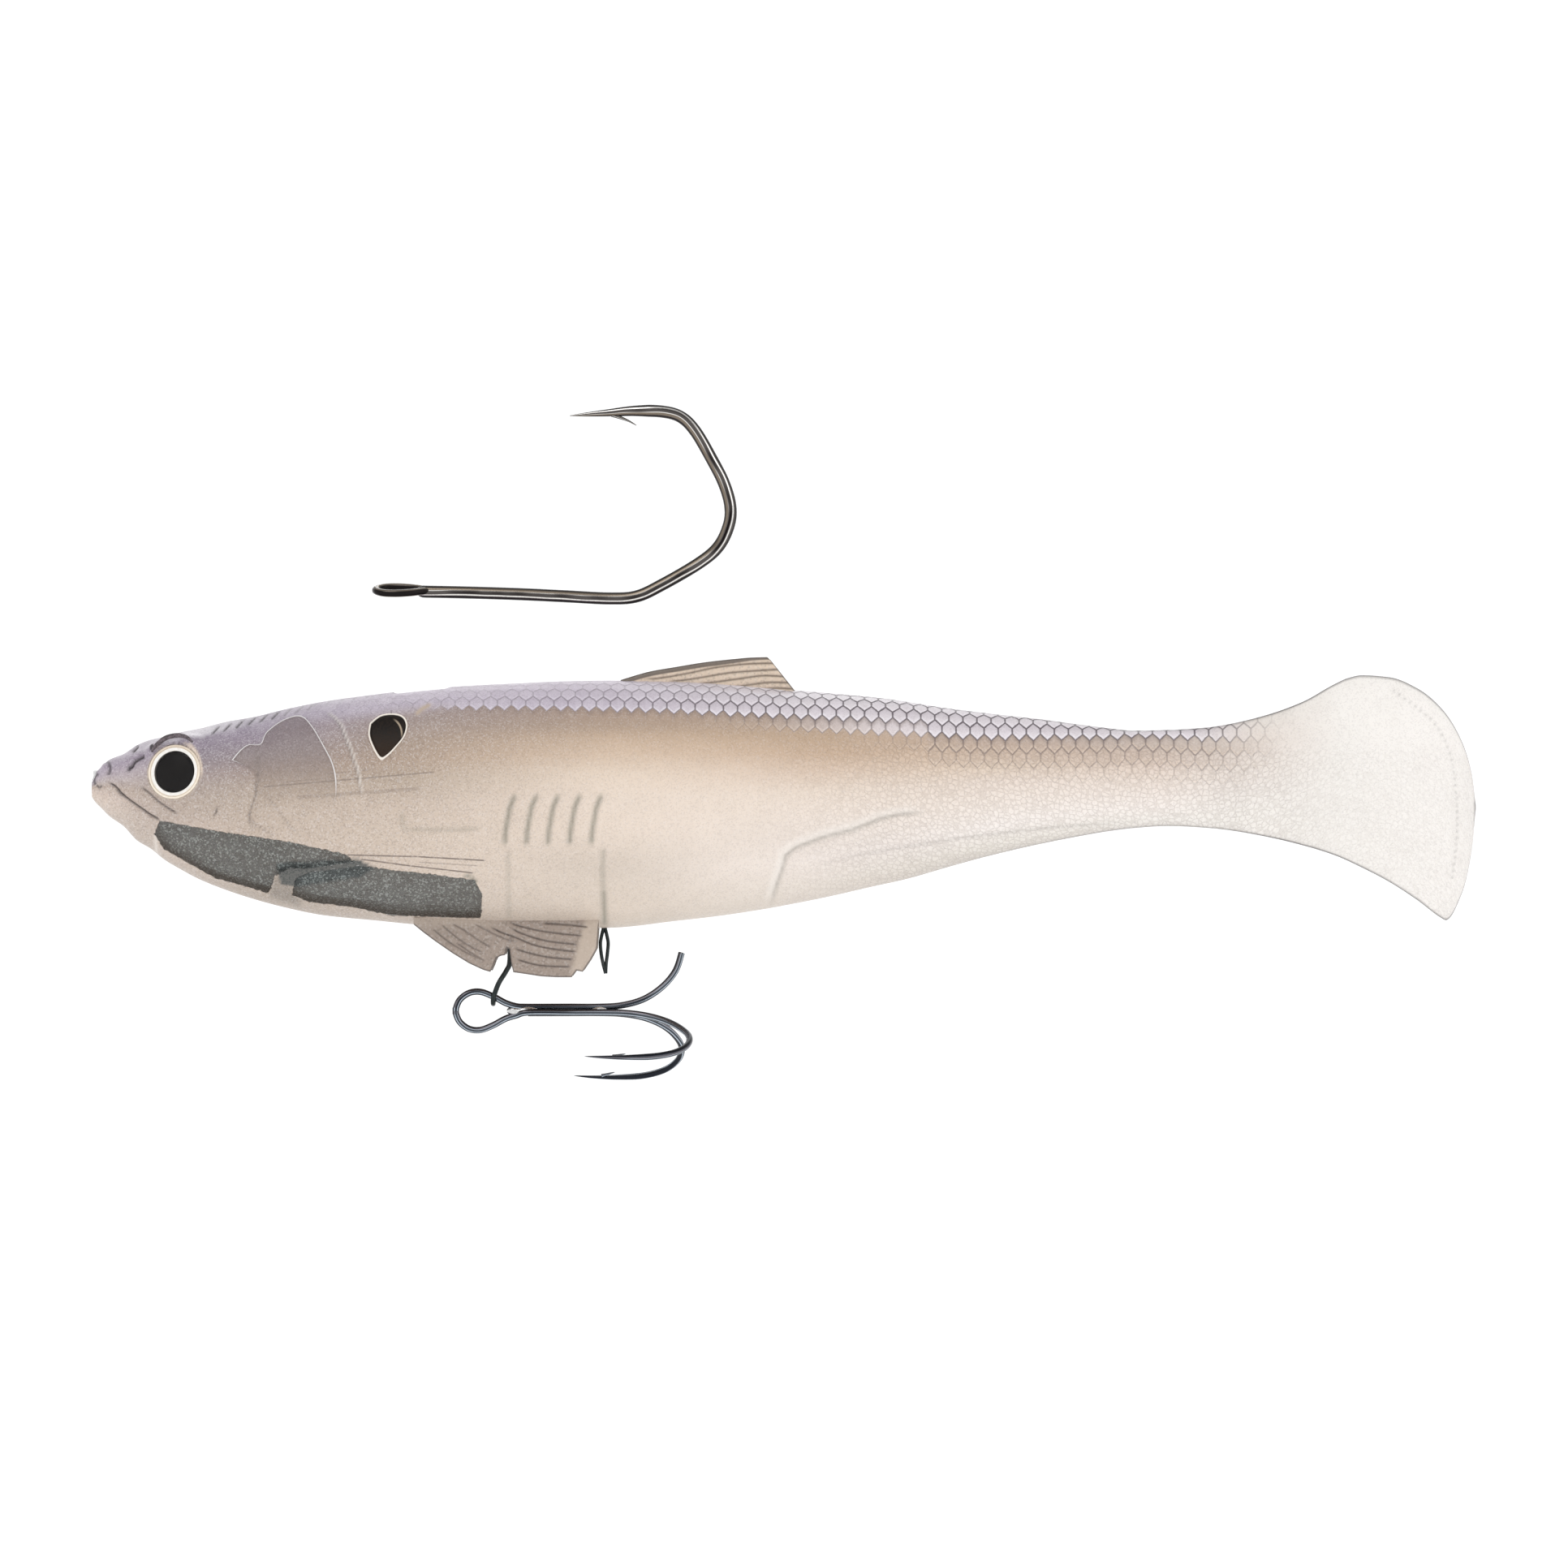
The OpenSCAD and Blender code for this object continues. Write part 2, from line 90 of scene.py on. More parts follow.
def seg_dist(px, pz, line):
    """Distance from points to a polyline, and how far along it the nearest place is (0-1)."""
    best = np.full(np.shape(px), 1e9)
    along = np.zeros(np.shape(px))
    line = np.array(line, float)
    seg = np.hypot(*(line[1:] - line[:-1]).T)
    total, run = seg.sum(), 0.0
    for (ax, az), (bx, bz), ln in zip(line[:-1], line[1:], seg):
        dx, dz = bx - ax, bz - az
        t = np.clip(((px - ax) * dx + (pz - az) * dz) / (ln * ln), 0, 1)
        d = np.hypot(px - ax - t * dx, pz - az - t * dz)
        closer = d < best
        best = np.where(closer, d, best)
        along = np.where(closer, (run + t * ln) / total, along)
        run += ln
    return best, along


def inside(px, pz, poly):
    """Signed distance to a polygon, negative inside."""
    poly = np.array(poly, float)
    d, _ = seg_dist(px, pz, np.vstack([poly, poly[:1]]))
    odd = np.zeros(np.shape(px), bool)
    j = len(poly) - 1
    for i in range(len(poly)):
        (xi, zi), (xj, zj) = poly[i], poly[j]
        cross = ((zi > pz) != (zj > pz)) & (
            px < (xj - xi) * (pz - zi) / (zj - zi + 1e-12) + xi)
        odd ^= cross
        j = i
    return np.where(odd, -d, d)


def catmull(points, k):
    p = np.array(points, float)
    out = []
    for i in range(len(p) - 1):
        a, b, c, d = p[max(i - 1, 0)], p[i], p[i + 1], p[min(i + 2, len(p) - 1)]
        for j in range(k):
            t = j / k
            out.append(0.5 * (2 * b + (c - a) * t + (2 * a - 5 * b + 4 * c - d) * t * t
                              + (3 * b - a - 3 * c + d) * t ** 3))
    out.append(p[-1])
    return np.array(out)


def add_mesh(name, verts_mm, faces, attrs=None, smooth_on=True):
    me = bpy.data.meshes.new(name)
    me.from_pydata((np.asarray(verts_mm, float) * MM).tolist(), [],
                   [tuple(int(i) for i in f) for f in faces])
    me.validate(verbose=False)
    me.update()
    if smooth_on:
        me.polygons.foreach_set("use_smooth", [True] * len(me.polygons))
    for key, val in (attrs or {}).items():
        val = np.asarray(val, np.float32)
        if val.ndim == 1:
            me.attributes.new(key, "FLOAT", "POINT").data.foreach_set("value", val)
        elif key.startswith("col"):
            c = np.ones((len(val), 4), np.float32)
            c[:, :3] = val
            me.attributes.new(key, "FLOAT_COLOR", "POINT").data.foreach_set("color", c.ravel())
        else:
            me.attributes.new(key, "FLOAT_VECTOR", "POINT").data.foreach_set("vector", val.ravel())
    ob = bpy.data.objects.new(name, me)
    scene.collection.objects.link(ob)
    return ob


def weld(verts, faces, attrs=None, tol=1e-4):
    """Merges points in the same place and drops faces that collapse."""
    key = np.round(verts / tol).astype(np.int64)
    _, first, inv = np.unique(key, axis=0, return_index=True, return_inverse=True)
    inv = inv.ravel()
    out = []
    for f in faces:
        g = []
        for i in f:
            j = int(inv[i])
            if not g or (g[-1] != j):
                g.append(j)
        if len(g) > 1 and g[0] == g[-1]:
            g.pop()
        if len(set(g)) >= 3 and len(set(g)) == len(g):
            out.append(tuple(g))
    at = {k: v[first] for k, v in (attrs or {}).items()}
    return verts[first], out, at, first


AROUND = {}


def sweep(path, radius, n=20, n0=(0, 1, 0), squash=None):
    """Round wire along a path: vertices and faces, with closed ends."""
    p = np.array(path, float)
    r = np.full(len(p), float(radius)) if np.isscalar(radius) else np.asarray(radius, float)
    t = np.gradient(p, axis=0)
    t /= np.linalg.norm(t, axis=1)[:, None] + 1e-12
    f = np.zeros_like(p)
    cur = np.array(n0, float)
    for i in range(len(p)):
        cur = cur - (cur @ t[i]) * t[i]
        cur /= np.linalg.norm(cur)
        f[i] = cur
    b = np.cross(t, f)
    a = np.arange(n) * 2 * math.pi / n
    v = []
    for i in range(len(p)):
        for q in a:
            v.append(p[i] + r[i] * (math.cos(q) * f[i] + math.sin(q) * b[i]))
    faces = []
    m = len(p)
    for i in range(m - 1):
        for j in range(n):
            k = (j + 1) % n
            faces.append((i * n + j, i * n + k, (i + 1) * n + k, (i + 1) * n + j))
    v = [*v, p[0], p[-1]]
    AROUND[id(faces)] = np.array([(math.cos(q), math.sin(q), i / m) for i in range(m) for q in a] + [(0, 0, 0), (0, 0, 1)])
    c0, c1 = m * n, m * n + 1
    for j in range(n):
        k = (j + 1) % n
        faces.append((c0, k, j))
        faces.append((c1, (m - 1) * n + j, (m - 1) * n + k))
    return np.array(v), faces


def join(parts):
    """Several sweeps as one mesh; the third result marks the place round each wire."""
    verts, faces, base, marks = [], [], 0, []
    for v, f in parts:
        verts.append(v)
        marks.append(AROUND.get(id(f), np.zeros((len(v), 3))))
        faces += [tuple(i + base for i in g) for g in f]
        base += len(v)
    return np.vstack(verts), faces, np.vstack(marks)


def lathe(profile, n=96):
    """A closed solid of revolution about local Z from (r, z) points that start and end on the axis."""
    v, faces = [], []
    prof = [tuple(q) for q in profile]
    rings = []
    for r, z in prof:
        if r < 1e-9:
            rings.append([len(v)])
            v.append((0, 0, z))
        else:
            rings.append(list(range(len(v), len(v) + n)))
            for j in range(n):
                a = 2 * math.pi * j / n
                v.append((r * math.cos(a), r * math.sin(a), z))
    for a, b in zip(rings[:-1], rings[1:]):
        for j in range(n):
            k = (j + 1) % n
            if len(a) == 1 and len(b) > 1:
                faces.append((a[0], b[j], b[k]))
            elif len(b) == 1 and len(a) > 1:
                faces.append((a[j], b[0], a[k]))
            elif len(a) > 1:
                faces.append((a[j], b[j], b[k], a[k]))
    return np.array(v, float), faces


def ring_lathe(profile, n=96):
    """A closed ring from a closed loop of (r, z) points."""
    v, faces = [], []
    m = len(profile)
    for r, z in profile:
        for j in range(n):
            a = 2 * math.pi * j / n
            v.append((r * math.cos(a), r * math.sin(a), z))
    for i in range(m):
        i2 = (i + 1) % m
        for j in range(n):
            k = (j + 1) % n
            faces.append((i * n + j, i2 * n + j, i2 * n + k, i * n + k))
    return np.array(v, float), faces


def fix_normals(ob):
    import bmesh
    bm = bmesh.new()
    bm.from_mesh(ob.data)
    bmesh.ops.recalc_face_normals(bm, faces=bm.faces)
    bm.to_mesh(ob.data)
    bm.free()


# ---- shader helpers --------------------------------------------------------

class Nodes:
    def __init__(self, name):
        self.mat = bpy.data.materials.new(name)
        self.mat.use_nodes = True
        self.nt = self.mat.node_tree
        self.nt.nodes.clear()
        self.out = self.nt.nodes.new("ShaderNodeOutputMaterial")
        self.bsdf = self.nt.nodes.new("ShaderNodeBsdfPrincipled")
        self.nt.links.new(self.bsdf.outputs[0], self.out.inputs[0])

    def put(self, sock, val):
        if hasattr(val, "is_output"):
            self.nt.links.new(val, sock)
        else:
            sock.default_value = val

    def set(self, **kw):
        for k, v in kw.items():
            self.put(self.bsdf.inputs[k.replace("_", " ")], v)
        return self

    def attr(self, name, kind="Fac"):
        n = self.nt.nodes.new("ShaderNodeAttribute")
        n.attribute_name = name
        return n.outputs[kind]

    def math(self, op, a, b=0.0, c=None, clamp=False):
        n = self.nt.nodes.new("ShaderNodeMath")
        n.operation = op
        n.use_clamp = clamp
        self.put(n.inputs[0], a)
        self.put(n.inputs[1], b)
        if c is not None:
            self.put(n.inputs[2], c)
        return n.outputs[0]

    def ramp(self, x, lo, hi, a=0.0, b=1.0):
        n = self.nt.nodes.new("ShaderNodeMapRange")
        n.interpolation_type = "SMOOTHSTEP"
        for i, v in enumerate((x, lo, hi, a, b)):
            self.put(n.inputs[i], v)
        return n.outputs[0]

    def mix(self, fac, a, b, mode="MIX"):
        n = self.nt.nodes.new("ShaderNodeMix")
        n.data_type = "RGBA"
        n.blend_type = mode
        self.put(n.inputs[0], fac)
        self.put(n.inputs[6], a)
        self.put(n.inputs[7], b)
        return n.outputs[2]

    def xyz(self, vec):
        n = self.nt.nodes.new("ShaderNodeSeparateXYZ")
        self.put(n.inputs[0], vec)
        return n.outputs

    def vec(self, x=0.0, y=0.0, z=0.0):
        n = self.nt.nodes.new("ShaderNodeCombineXYZ")
        for i, v in enumerate((x, y, z)):
            self.put(n.inputs[i], v)
        return n.outputs[0]

    def noise(self, vec, scale, detail=2.0, rough=0.5):
        n = self.nt.nodes.new("ShaderNodeTexNoise")
        self.put(n.inputs["Vector"], vec)
        n.inputs["Scale"].default_value = scale
        n.inputs["Detail"].default_value = detail
        n.inputs["Roughness"].default_value = rough
        return n.outputs[0]

    def voronoi(self, vec, scale, feature="F1", out="Color", rand=1.0):
        n = self.nt.nodes.new("ShaderNodeTexVoronoi")
        n.feature = feature
        self.put(n.inputs["Vector"], vec)
        n.inputs["Scale"].default_value = scale
        n.inputs["Randomness"].default_value = rand
        return n.outputs[out]

    def white(self, vec):
        n = self.nt.nodes.new("ShaderNodeTexWhiteNoise")
        n.noise_dimensions = "3D"
        self.put(n.inputs["Vector"], vec)
        return n.outputs["Value"]

    def bump(self, height, strength=0.5, dist=0.0001, normal=None):
        n = self.nt.nodes.new("ShaderNodeBump")
        n.inputs["Strength"].default_value = strength
        n.inputs["Distance"].default_value = dist
        self.put(n.inputs["Height"], height)
        if normal is not None:
            self.put(n.inputs["Normal"], normal)
        return n.outputs[0]


# ---- camera, floor and light -----------------------------------------------

cam_data = bpy.data.cameras.new("camera")
cam = bpy.data.objects.new("camera", cam_data)
scene.collection.objects.link(cam)
scene.camera = cam
CAM_D = 1.5
cam_data.sensor_width = 36.0
cam_data.lens = 36.0 * CAM_D / 0.2266
cam_data.clip_start, cam_data.clip_end = 0.01, 60.0
cam.location = (0.09947, -CAM_D, -0.00082)
cam.rotation_euler = (math.pi / 2, 0, 0)

scene.view_settings.view_transform = "Standard"
scene.view_settings.look = "None"

# A pale round floor that turns up into a wall a long way off
prof = [(0.0, -0.17), (1.2, -0.17), (2.2, -0.17)]
for k in range(1, 13):
    a = k / 12 * math.pi / 2
    prof.append((2.2 + 1.2 * math.sin(a), -0.17 + 1.2 * (1 - math.cos(a))))
prof.append((3.4, 1.9))
NB = 96
bv, bf = [], []
for r, z in prof:
    for j in range(NB):
        a = 2 * math.pi * j / NB
        bv.append((100 + r * math.cos(a) * 1000, r * math.sin(a) * 1000, z * 1000))
for i in range(len(prof) - 1):
    for j in range(NB):
        k = (j + 1) % NB
        bf.append((i * NB + j, i * NB + k, (i + 1) * NB + k, (i + 1) * NB + j))
bv, bf, _, _ = weld(np.array(bv, float), bf)
floor = add_mesh("studio_floor", bv, bf)
g = Nodes("studio_white")
g.set(Base_Color=(0.55, 0.55, 0.55, 1), Roughness=1.0)
g.bsdf.inputs["Specular IOR Level"].default_value = 0.0
g.bsdf.inputs["Emission Color"].default_value = (1, 1, 1, 1)
g.bsdf.inputs["Emission Strength"].default_value = 0.62
floor.data.materials.append(g.mat)

world = bpy.data.worlds.new("world")
scene.world = world
world.use_nodes = True
wb = world.node_tree.nodes["Background"]
wb.inputs[0].default_value = (1.0, 1.0, 1.0, 1)
wb.inputs[1].default_value = 0.62


def area(name, loc, target, size, power, colour=(1, 1, 1)):
    from mathutils import Vector
    d = bpy.data.lights.new(name, "AREA")
    d.shape = "DISK"
    d.size = size
    d.energy = power
    d.color = colour
    o = bpy.data.objects.new(name, d)
    scene.collection.objects.link(o)
    o.location = loc
    o.rotation_euler = (Vector(target) - Vector(loc)).to_track_quat("-Z", "Y").to_euler()
    return o


area("key", (-0.5, -1.3, 1.7), (0.1, 0, 0), 1.3, 9)
area("fill", (1.3, -1.2, 0.7), (0.1, 0, 0), 1.0, 2)
area("back", (0.2, 1.6, 1.2), (0.1, 0, 0), 1.2, 4)

# ---- the fish's shape (mm), as in the CAD ----------------------------------

BACK = pchip([(-0.5, -0.3), (0, 0.8), (0.8, 1.6), (2, 2.7), (4, 3.5), (6, 4.8), (8, 5.6),
              (10, 6), (12, 6.6), (15, 7.2), (19, 8.2), (23, 8.9), (27.5, 10), (33, 11.1),
              (41, 12.2), (46, 12.8), (53, 13.4), (61, 13.8), (68, 14.1), (75, 14.2),
              (84, 14.1), (90, 13.8), (96, 13.3), (101.5, 12.7), (105, 12.4), (112.5, 11.7),
              (117, 11.1), (124, 10), (128, 9.5), (136, 8.6), (142, 7.8), (146, 7.3),
              (150, 6.9), (155, 7), (161, 7.4), (163, 7.7), (169, 9.1), (174.5, 11.1),
              (179, 13.6), (181, 14.5), (183, 14.9), (187, 14.6), (191, 13), (194.5, 10.1),
              (197.4, 5.4), (198.9, 0.4), (199.4, -3.6)])
BELLY = pchip([(-0.5, -2.8), (0, -3.5), (0.8, -4.3), (2, -5.5), (4, -6.9), (6, -9),
               (8, -10.2), (10, -11.8), (12, -13), (15, -14.6), (19, -16.2), (23, -17.5),
               (27.5, -18.7), (33, -19.8), (41, -20.6), (46, -21.1), (53, -21.5),
               (61, -21.7), (68, -21.7), (74.5, -21.6), (84, -20.6), (90, -19.9), (96, -19),
               (101.5, -18), (105, -17.3), (112.5, -15.6), (117, -14.6), (124, -12.6),
               (128, -11.5), (136, -9.6), (142, -8.4), (146, -7.7), (150, -7.2),
               (155, -6.9), (161, -7.2), (163, -7.4), (169, -8.4), (174.5, -9.7),
               (179, -11.1), (183, -12.9), (187, -15), (191, -17.6), (194.5, -20.2),
               (195.1, -20.5), (197.4, -16.7), (198.9, -10.1), (199.4, -4.8)])
HALF = pchip([(-0.5, 1.3), (0.8, 2.4), (2, 3.3), (4, 4.4), (6, 5.3), (8, 6.1), (10, 6.8),
              (12, 7.4), (15, 8.1), (19, 8.9), (23, 9.6), (27.5, 10.3), (33, 11), (41, 11.8),
              (50, 12.3), (60, 12.5), (70, 12.4), (80, 12), (90, 11.1), (100, 9.9),
              (110, 8.6), (120, 7.2), (130, 5.9), (140, 4.7), (150, 3.6), (156, 2.9),
              (162, 2.2), (168, 1.7), (175, 1.4), (185, 1.3), (191, 1.5), (194, 1.6),
              (197, 1.3), (199.4, 0.6)])
M_UP, M_LOW = 2.1, 1.9


def mid(x):
    return BACK(x) - 0.42 * (BACK(x) - BELLY(x))


def flank_y(x, z):
    """Half-width of the body at (x, z), 0 outside it."""
    zt, zb, w, zm = BACK(x), BELLY(x), HALF(x), mid(x)
    up = z >= zm
    q = np.clip(np.where(up, (z - zm) / (zt - zm), (zm - z) / (zm - zb)), 0, 1)
    m = np.where(up, M_UP, M_LOW)
    return w * np.clip(1 - q ** m, 0, 1) ** (1 / m)


def slot_half(x, z):
    """Half-width of the hook slot at (x, z): wider in front for the hook's eye."""
    line = 49.6 + (20 - z) * 6.0 / 30.5
    return 1.2 + 1.3 * (1 - smooth(-0.4, 0.5, x - line))


SLOT_A, SLOT_B = 42.95, 100.6
SLOT_FLOOR = pchip([(42.0, 20), (45.9, -10.5), (86, -10.5), (90, -9.3), (95, -6.3),
                    (98.6, -3.6), (100.4, 0.5), (100.6, 20)])


def slot_floor(x):
    x = np.asarray(x, float)
    front = 20 - (x - 42.0) / 3.9 * 30.5
    back = np.where(x > 100.4, 0.5 + (x - 100.4) / 0.2 * 13.0, -99)
    flat = np.interp(x, [45.9, 86, 90, 95, 98.6, 100.4], [-10.5, -10.5, -9.3, -6.3, -3.6, 0.5])
    return np.minimum(np.where(x < 45.9, front, np.maximum(flat, back)), BACK(x))


def slot_round(x):
    """1 along the slot, falling to 0 in a round at each end."""
    a = np.clip((x - SLOT_A) / 1.1, 0, 1)
    b = np.clip((SLOT_B - x) / 1.2, 0, 1)
    return np.sqrt(np.clip(1 - (1 - a) ** 2, 0, 1)) * np.sqrt(np.clip(1 - (1 - b) ** 2, 0, 1))


# ---- grid of the skin, +Y half ---------------------------------------------

def span(a, b, step):
    return np.linspace(a, b, int(round((b - a) / step)) + 1)[:-1]


fine = 1.0
cols = np.concatenate([
    span(-0.5, 1.0, 0.1), span(1.0, 17.0, 0.2), span(17.0, 48.0, 0.3), span(48.0, 126.0, 0.4),
    span(126.0, 150.0, 0.3), span(150.0, 186.0, 0.3), span(186.0, 197.0, 0.2),
    span(197.0, 198.9, 0.1), span(198.9, 199.41, 0.05), [199.4],
    [42.95, 43.05, 43.2, 43.4, 99.7, 100.3, 100.45, 100.55, 100.6]])
cols = np.unique(np.round(cols, 4))
cols = cols[np.concatenate([[True], np.diff(cols) > 0.035])]
NC, NS, NR, NW, NF = len(cols), 104, 3, 9, 2
ROWS = NS + NR + NW + NF

ang = np.linspace(-math.pi / 2, math.pi / 2, 900)
P = np.zeros((NC, ROWS, 3))
V = np.zeros((NC, ROWS))
LIP = 0.35
frac = np.linspace(0, 1, NS)
for ci, x in enumerate(cols):
    zt, zb, w, zm = BACK(x), BELLY(x), HALF(x), mid(x)
    s, c = np.sin(ang), np.cos(ang)
    m = np.where(s >= 0, M_UP, M_LOW)
    y = w * np.abs(c) ** (2 / m)
    z = zm + np.where(s >= 0, zt - zm, zm - zb) * np.sign(s) * np.abs(s) ** (2 / m)
    y[-1] = y[0] = 0
    arc = np.concatenate([[0], np.cumsum(np.hypot(np.diff(y), np.diff(z)))])
    total = arc[-1]
    open_here = SLOT_A < x < SLOT_B
    rr = slot_round(x) if open_here else 0.0
    if open_here:
        h = float(slot_half(x, zt)) * rr
        lip = LIP * rr
        k = np.searchsorted(-y[450:], -(h + lip)) + 450
        t = (y[k - 1] - (h + lip)) / max(y[k - 1] - y[k], 1e-9)
        end = arc[k - 1] + t * (arc[k] - arc[k - 1])
    else:
        end = total
    top = min(12.5, 0.46 * end)
    q = np.concatenate([np.linspace(0, end - top, NS - 37)[:-1], np.linspace(end - top, end, 38)])
    P[ci, :NS, 0] = x
    P[ci, :NS, 1] = np.interp(q, arc, y)
    P[ci, :NS, 2] = np.interp(q, arc, z)
    V[ci, :NS] = total - q
    P[ci, NS:, 0] = x
    P[ci, NS:, 2] = zt
    if open_here:
        zl = P[ci, NS - 1, 2]
        for k in range(NR):
            a = (k + 1) / NR * math.pi / 2
            P[ci, NS + k, 1] = h + lip - lip * math.sin(a)
            P[ci, NS + k, 2] = zl - lip * (1 - math.cos(a))
            V[ci, NS + k] = V[ci, NS - 1] - lip * a
        z0 = zl - lip
        zf = min(float(slot_floor(x)), z0)
        for k in range(NW):
            zz = z0 + (zf - z0) * (k + 1) / NW
            P[ci, NS + NR + k, 1] = float(slot_half(x, zz)) * rr
            P[ci, NS + NR + k, 2] = zz
        yb = P[ci, NS + NR + NW - 1, 1]
        for k in range(NF):
            P[ci, NS + NR + NW + k, 1] = yb * (1 - (k + 1) / NF)
            P[ci, NS + NR + NW + k, 2] = zf
        V[ci, NS + NR:] = V[ci, NS + NR - 1]

REST = P.copy()
X, Y, Z = P[..., 0], P[..., 1], P[..., 2]
ZT, ZB = BACK(X), BELLY(X)

# Outward normals of the plain surface, for the relief
du = np.gradient(P, axis=0)
dv = np.gradient(P, axis=1)
dv[:, 0] = (0, 1, 0)
N = np.cross(dv, du)
N[:, NS - 1:] = 0
N[:, NS - 2] = N[:, NS - 3]
ln = np.linalg.norm(N, axis=2)[..., None]
N = np.where(ln > 1e-12, N / np.maximum(ln, 1e-12), 0)
closed = ~((cols > SLOT_A) & (cols < SLOT_B))
N[closed, NS - 1:] = (0, 0, 1)
back_run = closed & (cols > 1.0) & (cols < 198.0)
N[back_run, NS - 1:] = (0, 0, 1)

# ---- scale lattice ---------------------------------------------------------

# Scales are stretched hexagons in rows; each row's lower edge is a run of V shapes
SP, SR, SV = 2.03, 2.1, 1.07      # width of a scale, spacing of the rows, depth of the V
U0 = 105.98                       # a tip of row 0 lies here


def lattice(u, w):
    """Row number, distance to the nearest edge and height up the scale (1 at its free lower edge)."""
    un = (u - U0) / SP
    tri = 1 - 2 * np.abs(un + 0.5 - np.floor(un + 0.5) - 0.5)
    ww, dr = w / SR, SV / SR
    k1 = np.floor(ww) + 1
    odd = k1 - 2 * np.floor(k1 / 2)
    t1 = np.where(odd > 0.5, 1 - tri, tri)
    b1 = k1 - dr * (1 - t1)
    over = (ww >= b1) * 1.0
    row = k1 + over
    tr = np.where(over > 0, 1 - t1, t1)
    bot = np.where(over > 0, k1 + 1 - dr * t1, b1) - ww
    top = ww - np.where(over > 0, b1, k1 - 1 - dr * t1)
    edge = np.minimum(tr * SP / 2, np.minimum(bot, top) * SR * 0.69)
    return row, edge, top / (top + bot)


# The line the tips of row 0 follow; the pearly lilac back ends there
ZREF = pchip([(-0.5, -0.5), (4, 1.2), (10, 3.0), (17, 5.0), (24, 6.6), (31, 7.8), (36, 8.2), (44, 9.1),
              (51, 9.75), (60, 9.72), (70, 9.55), (80, 9.3), (90, 8.85), (102, 8.35), (114, 7.9),
              (122, 7.55), (128, 7.25), (140, 7.1), (150, 6.85), (160, 7.0), (170, 7.2), (199.4, 7.4)])
vref = np.zeros(NC)
for ci, x in enumerate(cols):
    zr = min(float(ZREF(x)), float(P[ci, NS - 1, 2]) - 0.05)
    order = np.argsort(P[ci, :NS, 2])
    vref[ci] = np.interp(zr, P[ci, :NS, 2][order], V[ci, :NS][order])
    if zr < float(ZREF(x)):
        vref[ci] -= (float(ZREF(x)) - zr)
W = V - vref[:, None]
# Strength of the scale outlines, of the fine net, and of the jagged border
net = smooth(88, 120, X) * smooth(1.0, 4.5, W) * (1 - 0.55 * smooth(165, 182, X))
net = np.clip(net, 0, 1)
jag = smooth(47, 55, X)

# ---- relief and painted marks ----------------------------------------------

D = np.zeros_like(X)
# dark holds painted shade in the grooves, pits and creases and along thin edges; light holds pale lines, and painted
# highlight on the gill arc and anal fin ridge; shade also holds painted shade below the anal fin ridge
dark = np.zeros_like(X)          # dark line marks
light = np.zeros_like(X)         # pale raised lines
shade = np.zeros_like(X)         # soft grey show-through of the pieces inside

flank = np.arange(ROWS)[None, :] < NS
row_no, edge, rise = lattice(X, W)
rel = row_no - (X > U0 + 7 * SP)
scale_relief = np.where(rel <= 0, 1.0, np.clip((X - 68 - 18 * rel) / 18, 0, 1) * np.clip(0.75 - 0.2 * rel, 0, 1))
scale_relief = scale_relief * smooth(26, 60, X) * (1 - smooth(158, 172, X))
D += 0.11 * scale_relief * (rise - 0.55) * smooth(0.0, 0.25, edge) * flank


def groove(line, width, depth, mark, taper=0.1):
    d, t = seg_dist(X, Z, line)
    k = smooth(0, taper, t) * smooth(0, taper, 1 - t) if taper else 1.0
    w = np.exp(-(d / width) ** 2) * k * flank
    global D, dark
    D = D - depth * w
    # the dark mark along each groove is painted shade
    dark = np.maximum(dark, mark * np.exp(-(d / (width * 0.75)) ** 2) * k * flank)


# mouth, upper jaw, cheek fold, gill cover line, each with painted shade in its groove
groove([(2.0, -0.5), (3.1, -1.2), (3.8, -2.15), (5.4, -3.35), (6.8, -4.3), (8.1, -5.25), (9.7, -6.1)], 0.20, 0.34, 1.0, 0.08)
groove([(3.1, -1.2), (3.8, -2.15), (4.6, -2.8)], 0.34, 0.10, 0.85, 0.3)
groove([(6.6, -1.0), (8.1, -2.15), (9.5, -3.4), (10.8, -4.3), (12.5, -5.3)], 0.20, 0.26, 0.85, 0.15)
groove([(17.75, -4.1), (17.9, -4.8), (17.5, -5.6)], 0.18, 0.16, 0.75, 0.25)
groove([(23.3, 4.9), (23.75, 3.0), (23.9, 0.9), (23.6, -2.3), (22.6, -5.4), (23.2, -8.4)], 0.2, 0.16, 0.50, 0.2)
groove([(23.5, 4.4), (23.85, 2.6), (23.85, 0.9)], 0.18, 0.16, 0.90, 0.3)
groove([(22.6, -5.2), (23.6, -6.8), (26.5, -8.3)], 0.16, 0.10, 0.40, 0.3)
groove([(24.0, -1.2), (26.6, -4.2), (28.4, -6.8), (31.0, -9.2)], 0.16, 0.08, 0.28, 0.3)
# nostril and the small pits of the snout, with painted shade in them
groove([(5.2, 1.55), (5.5, 1.95), (5.95, 2.55), (6.8, 3.05), (7.35, 3.25)], 0.36, 0.36, 1.0, 0.03)
groove([(5.05, 1.35), (5.2, 1.75)], 0.42, 0.30, 1.0, 0)
groove([(5.4, 3.8), (5.85, 4.3), (6.25, 4.8)], 0.30, 0.30, 1.0, 0.1)
groove([(1.45, 2.5), (2.0, 2.25), (2.25, 1.6), (2.15, 0.75)], 0.30, 0.18, 0.85, 0.1)
groove([(2.1, 1.0), (2.2, 0.4)], 0.36, 0.12, 0.75, 0.2)
groove([(0.5, 0.8), (-0.1, 0.2), (-0.15, -0.5), (0.15, -1.0)], 0.30, 0.08, 0.85, 0.1)
groove([(0.15, -1.0), (0.7, -1.35), (1.1, -1.0)], 0.24, 0.10, 0.70, 0.1)
